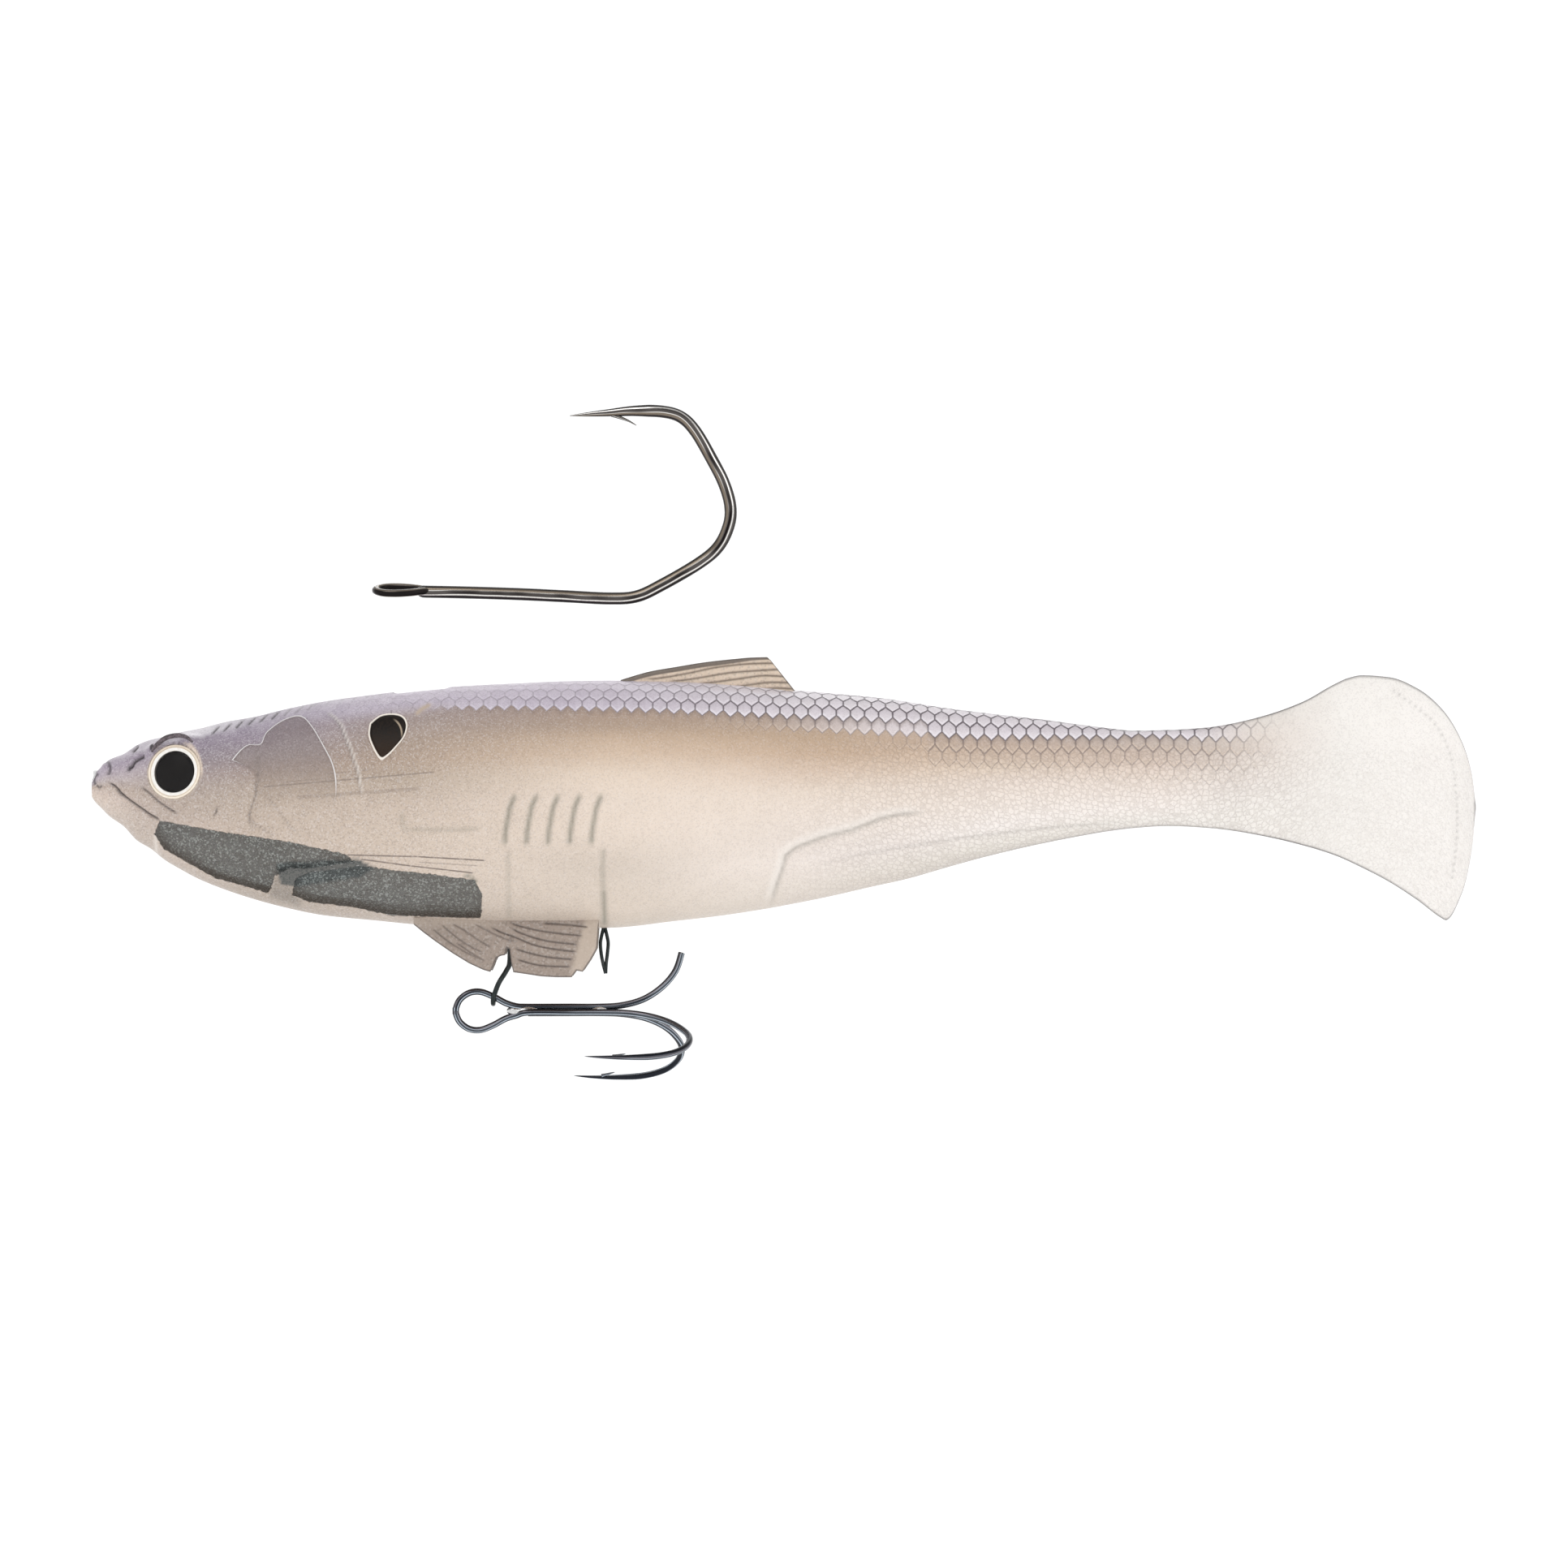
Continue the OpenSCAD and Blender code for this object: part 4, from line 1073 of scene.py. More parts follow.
    # darker at the top of each scale, under the free edge of the row above: painted shade; paler band at the free edge:
    # painted highlight
    lil_col = g.mix(M("MULTIPLY", M("SUBTRACT", 1.0, rise), M("MULTIPLY", amp, 0.55)), lil_col, lin4((150, 138, 148)))
    lil_col = g.mix(M("MULTIPLY", pale, M("MULTIPLY", amp, 0.60)), lil_col, lin4((240, 236, 242)))
    lil_col = g.mix(M("MULTIPLY", cell, 0.22), lil_col, lin4((224, 216, 226)))
    base = g.attr("col_tint", "Color")
    # brownish-grey rows under the lilac ones, each with a painted highlight along its free edge
    under = M("MULTIPLY", is_low, M("MULTIPLY", amp, g.ramp(rel, 0.8, 3.2, 0.75, 0.1)))
    base = g.mix(under, base, lin4((176, 160, 150)))
    base = g.mix(M("MULTIPLY", M("MULTIPLY", pale, is_low), M("MULTIPLY", amp, 0.7)), base, lin4((226, 206, 186)))
    base = g.mix(lil, base, lil_col)
    # shadow just below the free edge of the lilac rows
    first_low = M("MULTIPLY", M("LESS_THAN", M("ABSOLUTE", M("SUBTRACT", rel, 1.0)), 0.5), jagn)
    shad = M("MULTIPLY", g.ramp(M("MULTIPLY", top, SR * 0.69), 0.0, 0.9, 1.0, 0.0), first_low)
    shad = M("MULTIPLY", shad, g.ramp(u, 150.0, 165.0, 0.45, 0.0))
    base = g.mix(shad, base, lin4((128, 112, 104)))
    # fine speckle in the plastic
    fl = g.voronoi(rest, 5.6, "F1", "Color")
    fr, fg2, fb2 = g.xyz(fl)
    gl_amt = g.ramp(u, 36.0, 80.0, 1.0, 0.5)
    dk = M("MULTIPLY", g.ramp(fr, 0.50, 1.0, 0.0, 0.42), gl_amt)
    lt = M("MULTIPLY", g.ramp(fg2, 0.62, 1.0, 0.0, 0.24), gl_amt)
    base = g.mix(dk, base, g.mix(1.0, base, (0.50, 0.47, 0.48, 1), "MULTIPLY"))
    base = g.mix(lt, base, (0.84, 0.82, 0.84, 1))
    cloud = g.noise(rest, 0.35, 3.0)
    base = g.mix(g.ramp(cloud, 0.42, 0.62, 0.0, 0.10), base, g.mix(1.0, base, (0.80, 0.78, 0.76, 1), "MULTIPLY"))
    # fine net of small scales towards the tail
    netv = g.voronoi(g.vec(M("DIVIDE", u, 0.80), M("DIVIDE", v, 0.72), 0.0), 1.0,
                     "DISTANCE_TO_EDGE", "Distance", 0.72)
    netl = M("MULTIPLY", g.ramp(netv, 0.02, 0.14, 1.0, 0.0), M("MULTIPLY", netn, 0.26))
    base = g.mix(netl, base, g.mix(1.0, base, (0.50, 0.46, 0.43, 1), "MULTIPLY"))
    # scale outlines
    slines = M("MULTIPLY", line, amp)
    base = g.mix(M("MULTIPLY", slines, 0.95), base, lin4((74, 63, 70)))
    # shadowed gap between the weights
    base = g.mix(M("MULTIPLY", gap, 1.0), base, g.mix(g.ramp(fr, 0.4, 1.0), lin4((96, 96, 93)), lin4((72, 74, 73))))
    # straight edges of the plate and the line tube, seen through the flank
    rx, ry, rz = g.xyz(rest)

    def stroke(x0, z0, x1, z1, wid, amt):
        zl = M("ADD", M("MULTIPLY", M("SUBTRACT", u, x0), (z1 - z0) / (x1 - x0)), z0)
        d = M("ABSOLUTE", M("SUBTRACT", rz, zl))
        ends = M("MULTIPLY", g.ramp(u, x0 - 0.05, x0 + 0.35), g.ramp(u, x1 - 0.35, x1 + 0.05, 1.0, 0.0))
        return M("MULTIPLY", g.ramp(d, wid * 0.4, wid, amt, 0.0), ends)

    thin = None
    for seg in ((36.6, -11.0, 47.0, -11.25, 0.15, 0.72), (46.8, -11.245, 56.6, -11.8, 0.14, 0.80),
                (38.6, -11.6, 46.0, -12.6, 0.15, 0.72), (45.8, -12.57, 54.9, -13.6, 0.14, 0.75),
                (47.0, -12.05, 55.6, -12.55, 0.12, 0.35),
                (24.6, -1.25, 49.5, 0.9, 0.16, 0.42), (29.5, -2.75, 47.5, -1.45, 0.36, 0.22),
                (27.5, -0.6, 33.5, 0.0, 0.14, 0.22), (33.4, 0.6, 40.5, 1.25, 0.14, 0.16)):
        st = stroke(*seg)
        thin = st if thin is None else M("MAXIMUM", thin, st)
    thin = M("MULTIPLY", thin, g.ramp(wob, 0.30, 0.55, 0.72, 1.0))
    base = g.mix(thin, base, lin4((86, 74, 70)))
    # marks from the mould and from what lies inside: show-through and painted shade, a scrape, painted highlight on the
    # ridges and painted shade in the grooves, pits and creases
    base = g.mix(M("MULTIPLY", g.attr("shade"), 0.74), base, lin4((96, 99, 86)))
    base = g.mix(g.attr("scrape"), base, lin4((186, 168, 150)))
    base = g.mix(g.attr("light"), base, lin4((240, 234, 228)))
    base = g.mix(M("MULTIPLY", g.attr("dark"), 0.95), base, lin4((46, 38, 42)))
    # height for fine relief
    h = M("MULTIPLY", M("MULTIPLY", rise, amp), 1.2)
    h = M("SUBTRACT", h, M("MULTIPLY", slines, 1.0))
    h = M("SUBTRACT", h, M("MULTIPLY", netl, 1.6))
    h = M("ADD", h, M("MULTIPLY", g.noise(rest, 5.0, 2.0), 0.25))
    h = M("ADD", h, M("MULTIPLY", g.noise(rest, 0.8, 2.0), 0.30))
    rough = g.ramp(fb2, 0.0, 1.0, 0.32, 0.50)
    wcut = M("ADD", g.attr("wind"), M("MULTIPLY", M("SUBTRACT", g.noise(rest, 1.7, 3.0), 0.5), 0.5))
    clear = g.ramp(wcut, -0.09, 0.09, 0.86, 0.0)
    g.set(Base_Color=base, Roughness=rough, Alpha=M("MULTIPLY", g.attr("solid"), M("SUBTRACT", 1.0, clear)),
          Normal=g.bump(h, 0.8, 0.00012))
    g.bsdf.inputs["IOR"].default_value = 1.46
    g.bsdf.inputs["Specular IOR Level"].default_value = 0.45
    return g.mat


skin_mat = skin_material()
for o in (skin_a, skin_b, skin_c):
    o.data.materials.append(skin_mat)
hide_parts("trunk", "body_rear")
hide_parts("tail_stem")
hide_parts("tail_fin")

# ---- wires and hooks -------------------------------------------------------

def metal(name, rgb, rough, tintcol=None, amount=0.25, scale=900.0):
    g = Nodes(name)
    tc = g.nt.nodes.new("ShaderNodeTexCoord").outputs["Object"]
    n1 = g.noise(tc, scale, 3.0)
    n2 = g.noise(tc, scale * 5, 2.0)
    col = g.mix(g.ramp(n1, 0.35, 0.70, 0.0, amount), (*rgb, 1), (*(tintcol or rgb), 1))
    g.set(Base_Color=col, Metallic=1.0, Roughness=g.ramp(n2, 0.3, 0.7, rough * 0.8, rough * 1.25),
          Normal=g.bump(n2, 0.12, 0.00002))
    return g.mat




def reflection_painted_wire(name, dark_c, mid_c, warm_c, bright_c, rough):
    """Polished wire. Its dark edges and its long bright, tinted and dark streaks along the wire are painted reflection
    and painted highlight, laid out round the wire.
    """
    g = Nodes(name)
    c, sn, al = g.xyz(g.attr("around", "Vector"))
    rest = g.attr("rest", "Vector")
    n = g.noise(rest, 0.10, 2.0)
    n2 = g.noise(rest, 3.5, 3.0)
    wv = g.math("ADD", sn, g.math("MULTIPLY", g.math("SUBTRACT", n, 0.5), 0.7))
    col = (*mid_c, 1)
    warm_reflection = g.math("MULTIPLY", g.ramp(wv, 0.18, 0.40), g.ramp(wv, 0.60, 0.85, 1.0, 0.0))
    col = g.mix(warm_reflection, col, (*warm_c, 1))
    dark_reflection = g.math("MULTIPLY", g.ramp(wv, -0.34, -0.20), g.ramp(wv, 0.05, 0.20, 1.0, 0.0))
    col = g.mix(g.math("MULTIPLY", dark_reflection, g.ramp(n, 0.38, 0.55, 1.0, 0.25)), col, (*dark_c, 1))
    # bright stripes: painted highlights
    hi = g.math("MULTIPLY", g.ramp(wv, -0.62, -0.50), g.ramp(wv, -0.42, -0.32, 1.0, 0.0))
    hi = g.math("MULTIPLY", hi, g.ramp(n2, 0.25, 0.6, 0.75, 1.0))
    col = g.mix(hi, col, (*bright_c, 1))
    hi2 = g.math("MULTIPLY", g.ramp(wv, 0.20, 0.26), g.ramp(wv, 0.30, 0.38, 1.0, 0.0))
    col = g.mix(g.math("MULTIPLY", hi2, g.ramp(n, 0.40, 0.60, 0.0, 0.9)), col, (*bright_c, 1))
    # dark edges at the sides of the wire: painted reflection
    edge = g.ramp(g.math("ABSOLUTE", sn), 0.62, 0.86)
    col = g.mix(g.math("MULTIPLY", edge, 0.96), col, (*dark_c, 1))
    g.set(Base_Color=col, Metallic=1.0, Roughness=g.ramp(n2, 0.3, 0.7, rough * 0.8, rough * 1.3),
          Normal=g.bump(n2, 0.10, 0.00002))
    return g.mat


gun = reflection_painted_wire("black_nickel", (0.012, 0.010, 0.010), (0.11, 0.10, 0.095), (0.20, 0.165, 0.13), (0.80, 0.78, 0.75), 0.20)
blue = reflection_painted_wire("blued_steel", (0.016, 0.018, 0.024), (0.085, 0.095, 0.11), (0.14, 0.13, 0.145), (0.55, 0.62, 0.70), 0.22)
wire_mat = metal("dark_wire", (0.030, 0.036, 0.036), 0.34, (0.085, 0.09, 0.09), 0.5, 700.0)
silver = metal("silver_braze", (0.80, 0.80, 0.80), 0.25, (0.40, 0.40, 0.40), 0.6, 900.0)

HOOK = [(46.4, 0, 27.0), (54, 0, 26.85), (61.7, 0, 26.6), (68, 0, 26.3), (74.3, 0, 26.0),
        (78.2, 0, 26.3), (81.9, 0, 28.0), (87.2, 0, 31.1), (90.0, 0, 33.5), (91.5, 0, 36.6),
        (91.7, 0, 39.4), (90.8, 0, 42.6), (89.1, 0, 46.0), (86.7, 0, 50.1), (84.6, 0, 52.2),
        (81.9, 0, 53.0), (77.9, 0, 53.1), (73.8, 0, 52.8), (68.5, 0, 52.4)]
hp = catmull(HOOK, 12)
hr = np.full(len(hp), 0.9)
tip = (hp[:, 2] > 50) & (hp[:, 0] < 80)
hr[tip] = np.maximum(0.045, 0.9 * np.clip((hp[tip, 0] - 68.4) / 11.6, 0, 1) ** 0.72)
start = np.clip((hp[:, 0] - 46.3) / 1.2, 0, 1)
front = (hp[:, 2] < 28) & (hp[:, 0] < 47.6)
hr[front] = 0.9 * np.sqrt(np.clip(1 - (1 - start[front]) ** 2, 0.2, 1))
parts = [sweep(hp, hr, 28)]
EYE = [(39.95, -0.35, 0), (40.2, 0.75, 0), (41.3, 1.65, 0), (43.2, 1.8, 0), (45.1, 1.35, 0),
       (46.8, 0.6, 0), (48.6, 0.25, 0)]
t16 = math.radians(16)
for s in (-1, 1):
    e = catmull([(p[0], s * p[1], p[2]) for p in EYE], 12)
    e = np.stack([e[:, 0] + 0.55, e[:, 1] * math.cos(t16) - e[:, 2] * math.sin(t16),
                  e[:, 1] * math.sin(t16) + e[:, 2] * math.cos(t16) + 27.2], axis=1)
    er = np.full(len(e), 0.55)
    er[-12:] = np.linspace(0.55, 0.30, 12)
    parts.append(sweep(e, er, 20, (0, 0, 1)))
# barb: a thin sliver raised from the wire
bl = catmull([(74.6, 0, 52.55), (75.9, 0, 52.1), (77.1, 0, 51.6), (78.15, 0, 51.0)], 8)
parts.append(sweep(bl, np.linspace(0.34, 0.05, len(bl)), 12))
v, f, ar = join(parts)
hook = add_mesh("hook_single", v, f, {"around": ar, "rest": v})
hook.data.materials.append(gun)
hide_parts("single_hook")
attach(hook, "single_hook")

# treble
YAW, ROLL, BUN = math.radians(4.3), 7.3, 0.57
PRONG = [(62.5, BUN), (68, BUN), (73, BUN), (76.2, 0.8), (79.3, 1.7), (82, 3.5), (84, 6.0), (85.2, 9.0),
         (84.9, 12), (83.1, 14.6), (80, 16.1), (76, 16.5), (72.5, 16.4), (69.85, 16.1)]
UPPER = [(62.5, BUN), (68, BUN), (73, BUN), (76.2, 0.8), (79.3, 1.7), (82, 3.5), (83.9, 5.8), (84.8, 8.4)]
EYET = [(52.03, 0, -0.5), (52.1, 0, 0.5), (52.7, 0, 1.7), (54, 0, 2.6), (55.6, 0, 2.75), (57.4, 0, 2.1),
        (59.2, 0, 1.15), (60.8, 0, 0.65)]


def prong(a, q):
    a = math.radians(a)
    return [(p[0], p[1] * math.sin(a), p[1] * math.cos(a)) for p in q]


def place_treble(v):
    v = np.asarray(v, float) - np.array([57.45, 0, 0])
    c, s = math.cos(YAW), math.sin(YAW)
    return np.stack([v[:, 0] * c - v[:, 1] * s + 57.45, v[:, 0] * s + v[:, 1] * c, v[:, 2] - 33.6], axis=1)


def treble_radius(p, far):
    r = np.full(len(p), 0.48)
    if far:
        k = (np.hypot(p[:, 1], p[:, 2]) > 13) & (p[:, 0] < 79)
        r[k] = np.maximum(0.03, 0.48 * np.clip((p[k, 0] - 69.8) / 9.2, 0, 1) ** 0.62)
    return r


def treble_barb(a):
    b = catmull([(73.9, 0, 16.1), (74.6, 0, 15.8), (75.3, 0, 15.45), (75.75, 0, 15.25)], 6)
    q = math.radians(a)
    b = np.stack([b[:, 0], b[:, 2] * math.sin(q), b[:, 2] * math.cos(q)], axis=1)
    return sweep(b, np.linspace(0.28, 0.04, len(b)), 10)


up = catmull(EYET + prong(ROLL, UPPER), 10)
low = catmull([(p[0], p[1], -p[2]) for p in EYET] + prong(ROLL - 120, PRONG), 10)
far = catmull(prong(ROLL + 120, PRONG), 10)
v, f, ar = join([sweep(up, treble_radius(up, False), 22), sweep(low, treble_radius(low, True), 22),
                 treble_barb(ROLL - 120)])
treble_a = add_mesh("treble_bent_pair", place_treble(v), f, {"around": ar, "rest": v})
v, f, ar = join([sweep(far, treble_radius(far, True), 22), treble_barb(ROLL + 120)])
treble_b = add_mesh("treble_third", place_treble(v), f, {"around": ar, "rest": v})
for o, n in ((treble_a, "treble_double_hook"), (treble_b, "treble_third_hook")):
    o.data.materials.append(blue)
    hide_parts(n)
    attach(o, "treble")


# braze: silver between the wires, swelling at both ends of the shank
def braze_blob(x0, x1, r):
    xs = np.linspace(x0, x1, 26)
    k = np.sin(np.linspace(0.12, math.pi - 0.12, 26)) ** 0.45
    return sweep([(x, 0, 0) for x in xs], r * k, 20)


v, f, ar = join([braze_blob(59.4, 61.6, 0.62), braze_blob(60.8, 64.1, 0.70), braze_blob(63.0, 72.8, 0.42),
                 braze_blob(71.6, 74.0, 0.70)])
braze = add_mesh("treble_solder", place_treble(v), f)
braze.data.materials.append(silver)
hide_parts("treble_braze")
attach(braze, "treble")

# hanger wire
keeper = []
for k in range(5):
    x, s = 60.3 + k * 3.2, 1 if k % 2 == 0 else -1
    for p in [(2.6, 4.1, -2.2), (1.82, 4.25, -4.6), (0.65, 4.1, -8.2), (0, 3.0, -10.0), (0, 0, -10.45),
              (0, -3.0, -10.0), (0.65, -4.1, -8.2), (1.82, -4.25, -4.6), (2.6, -4.1, -2.2)]:
        keeper.append((x + p[0], s * p[1], p[2]))
bail = [(0, 1.3, -10.3), (0, 1.3, -16), (0, 1.3, -22), (0, 1.3, -26.4), (-0.5, 1.3, -27.8),
        (-1.6, 1.3, -29.6), (-2.3, 1.3, -31.5), (-2.4, 0.95, -32.35), (-2.4, 0, -32.6),
        (-2.4, -0.95, -32.35), (-2.3, -1.3, -31.5), (-1.6, -1.3, -29.6), (-0.5, -1.3, -27.8),
        (0, -1.3, -26.4), (0, -1.3, -22), (0, -1.3, -16), (0, -1.3, -10.3)]
parts = [sweep(catmull(keeper, 6), 0.35, 14),
         sweep(catmull([(59.85 + p[0], p[1], p[2]) for p in bail], 8), 0.35, 16)]
for s in (-1, 1):
    loop = catmull([(73.5, 0, -10.2), (73.5, 0, -16), (73.5 + s * 0.05, 0, -20.6),
                    (73.5 + s * 0.12, 0, -21.6), (73.5 + s * 0.42, 0, -22.9), (73.5 + s * 0.56, 0, -23.9),
                    (73.5 + s * 0.44, 0, -25.4), (73.55 + s * 0.22, 0, -26.8), (73.7, 0, -28.2)], 10)
    parts.append(sweep(loop, np.full(len(loop), 0.26), 14))
v, f, ar = join(parts)
hanger = add_mesh("wire_hanger", v, f)
hanger.data.materials.append(wire_mat)
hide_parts("hanger_wire")
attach(hanger, "trunk")

# ---- eyes ------------------------------------------------------------------

def to_part(v, centre, m, side):
    q = np.asarray(v, float) @ m.T + centre
    if side < 0:
        q = q * np.array([1, -1, 1])
    return q


def arc_pts(cx, cz, r, a0, a1, n):
    return [(cx + r * math.cos(math.radians(a0 + (a1 - a0) * i / n)),
             cz + r * math.sin(math.radians(a0 + (a1 - a0) * i / n))) for i in range(n + 1)]


def pearl_material():
    g = Nodes("eye_pearl")
    loc = g.attr("eyeloc", "Vector")
    lx, ly, lz = g.xyz(loc)
    r = g.math("SQRT", g.math("ADD", g.math("MULTIPLY", lx, lx), g.math("MULTIPLY", ly, ly)))
    n = g.noise(loc, 2.2, 3.0)
    col = g.mix(g.ramp(n, 0.35, 0.7, 0.0, 0.5), lin4((252, 250, 246)), lin4((236, 228, 216)))
    col = g.mix(g.ramp(r, 3.42, 3.62, 0.0, 0.8), col, lin4((214, 196, 172)))
    col = g.mix(g.ramp(r, 3.08, 3.02, 0.0, 0.8), col, lin4((120, 104, 88)))
    g.set(Base_Color=col, Roughness=0.28, Normal=g.bump(n, 0.1, 0.00005))
    g.bsdf.inputs["Coat Weight"].default_value = 0.4
    g.bsdf.inputs["Coat Roughness"].default_value = 0.08
    return g.mat


def pupil_material():
    g = Nodes("pupil_black")
    loc = g.attr("eyeloc", "Vector")
    lx, ly, lz = g.xyz(loc)
    n = g.noise(loc, 3.0, 2.0)
    col = g.mix(g.ramp(n, 0.4, 0.8, 0.0, 0.6), (0.006, 0.005, 0.005, 1), (0.016, 0.013, 0.012, 1))
    g.set(Base_Color=col, Roughness=g.ramp(n, 0.3, 0.7, 0.10, 0.20))
    g.bsdf.inputs["Specular IOR Level"].default_value = 0.10
    return g.mat


def clear_material(name, alpha, rough=0.04, tintc=(0.95, 0.96, 0.97)):
    g = Nodes(name)
    tc = g.nt.nodes.new("ShaderNodeTexCoord").outputs["Object"]
    n = g.noise(tc, 400.0, 2.0)
    g.set(Base_Color=(*tintc, 1), Roughness=g.ramp(n, 0.3, 0.7, rough, rough * 1.6), Alpha=alpha)
    return g.mat


pearl, black = pearl_material(), pupil_material()
dome_mat = clear_material("eye_clear", 0.035, 0.03, (0.02, 0.02, 0.02))
dome_mat.node_tree.nodes["Principled BSDF"].inputs["Specular IOR Level"].default_value = 1.0


def rim_material():
    g = Nodes("eye_rim")
    loc = g.attr("eyeloc", "Vector")
    lx, ly, lz = g.xyz(loc)
    n = g.noise(loc, 4.0, 3.0)
    # darker towards the top of the rim: painted shade under the brow
    top = g.ramp(ly, -3.4, 1.5, 1.0, 0.0)
    col = g.mix(g.ramp(n, 0.3, 0.7, 0.0, 0.5), lin4((240, 230, 214)), lin4((216, 200, 180)))
    col = g.mix(g.math("MULTIPLY", top, 0.35), col, lin4((170, 146, 124)))
    g.set(Base_Color=col, Roughness=0.38, Normal=g.bump(n, 0.2, 0.00006))
    return g.mat


rim_mat = rim_material()


def brow_material():
    g = Nodes("brow_dark")
    loc = g.attr("eyeloc", "Vector")
    n = g.noise(loc, 3.0, 3.0)
    # the brow ridge is real relief; its dark colour is painted shade over the eye
    col = g.mix(g.ramp(n, 0.35, 0.65), lin4((58, 50, 54)), lin4((104, 92, 98)))
    g.set(Base_Color=col, Roughness=0.42, Normal=g.bump(n, 0.2, 0.00006))
    return g.mat


def on_eye_plane(line, height):
    """Points given in the side view, moved onto a plane parallel to the eye's rim."""
    m = np.array([[EM[0, 0], EM[0, 1]], [EM[2, 0], EM[2, 1]]])
    out = []
    for px, pz in line:
        lx, ly = np.linalg.solve(m, [px - EC[0] - EM[0, 2] * height, pz - EC[2] - EM[2, 2] * height])
        out.append((lx, ly, height))
    return out


brow_mat = brow_material()
for side, tag in ((-1, "left"), (1, "right")):
    path = catmull(on_eye_plane(BROW, 0.50), 8)
    rad = 0.05 + 0.31 * np.sin(np.linspace(0.02, 0.97, len(path)) * math.pi) ** 0.7
    v, f = sweep(path, rad, 12)
    ob = add_mesh("brow_ridge_" + tag, to_part(v, EC, EM, side), f, {"eyeloc": v})
    ob.data.materials.append(brow_mat)
    fix_normals(ob)
    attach(ob, "trunk")
    ringp = ([(3.63, -1.68), (3.63, -0.05)] + arc_pts(3.50, -0.05, 0.13, 0, 90, 5)[1:]
             + [(3.2, 0.05)] + arc_pts(3.16, -0.07, 0.12, 90, 180, 5)[1:] + [(3.04, -0.96), (2.7, -1.0), (2.7, -1.68)])
    v, f = ring_lathe(ringp, 96)
    ob = add_mesh("eye_pearl_" + tag, to_part(v, EC, EM, side), f, {"eyeloc": v})
    ob.data.materials.append(pearl)
    fix_normals(ob)
    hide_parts("eye_ring_" + tag)
    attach(ob, "trunk")
    prof2 = [(0, -0.95), (2.9, -0.95), (3.0, -0.9), (3.0, -0.05), (2.94, 0.03), (2.7, 0.055), (2.2, 0.06), (1.2, 0.065), (0, 0.068)]
    v, f = lathe(prof2, 96)
    v = v + np.array([0.14, 0.02, 0])
    ob = add_mesh("eye_pupil_" + tag, to_part(v, EC, EM, side), f, {"eyeloc": v})
    ob.data.materials.append(black)
    fix_normals(ob)
    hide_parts("pupil_" + tag)
    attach(ob, "trunk")
    R = (3.62 ** 2 + 1.1 ** 2) / 2.2
    amax = math.degrees(math.asin(3.62 / R))
    prof3 = [(0, 0.07), (2.9, 0.075), (3.55, 0.08)] + [
        (R * math.sin(math.radians(a)), 1.1 - R + R * math.cos(math.radians(a)))
        for a in np.linspace(amax * 0.965, 0, 14)]
    prof3[-1] = (0, 1.1)
    v, f = lathe(prof3, 96)
    ob = add_mesh("eye_lens_" + tag, to_part(v, EC, EM, side), f, {"eyeloc": v})
    ob.data.materials.append(dome_mat)
    fix_normals(ob)
    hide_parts("eye_dome_" + tag)
    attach(ob, "trunk")
    rp = arc_pts(3.79, 0.0, 0.17, 0, 345, 15)
    v, f = ring_lathe(rp, 96)
    ob = add_mesh("eye_rim_" + tag, to_part(v, EC, EM, side), f, {"eyeloc": v})
    ob.data.materials.append(rim_mat)
    fix_normals(ob)
    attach(ob, "trunk")

# ---- shoulder spots --------------------------------------------------------

def on_skin(lx, ly, centre, m):
    """Points of the plain body surface seen along the local axis at (lx, ly)."""
    t = np.zeros_like(lx)
    for _ in range(30):
        p = np.stack([lx, ly, t], axis=-1) @ m.T + centre
        err = flank_y(p[..., 0], p[..., 2]) - p[..., 1]
        t = t + err * 0.55
    return np.stack([lx, ly, t], axis=-1)


def patch(outline, centre2, rings, height):
    """A star-shaped sheet: rings of points from the centre to the outline. height(k) is its rise at each ring."""
    o = np.array(outline, float)
    c = np.array(centre2, float)
    pts, hs, ks = [c], [height(0.0)], [0.0]
    for k in rings:
        q = c + (o - c) * k
        pts += list(q)
        hs += [height(k)] * len(o)
        ks += [k] * len(o)
    n = len(o)
    faces = [(0, 1 + j, 1 + (j + 1) % n) for j in range(n)]
    for i in range(len(rings) - 1):
        for j in range(n):
            k = (j + 1) % n
            faces.append((1 + i * n + j, 1 + (i + 1) * n + j, 1 + (i + 1) * n + k, 1 + i * n + k))
    return np.array(pts), np.array(hs), np.array(ks), faces


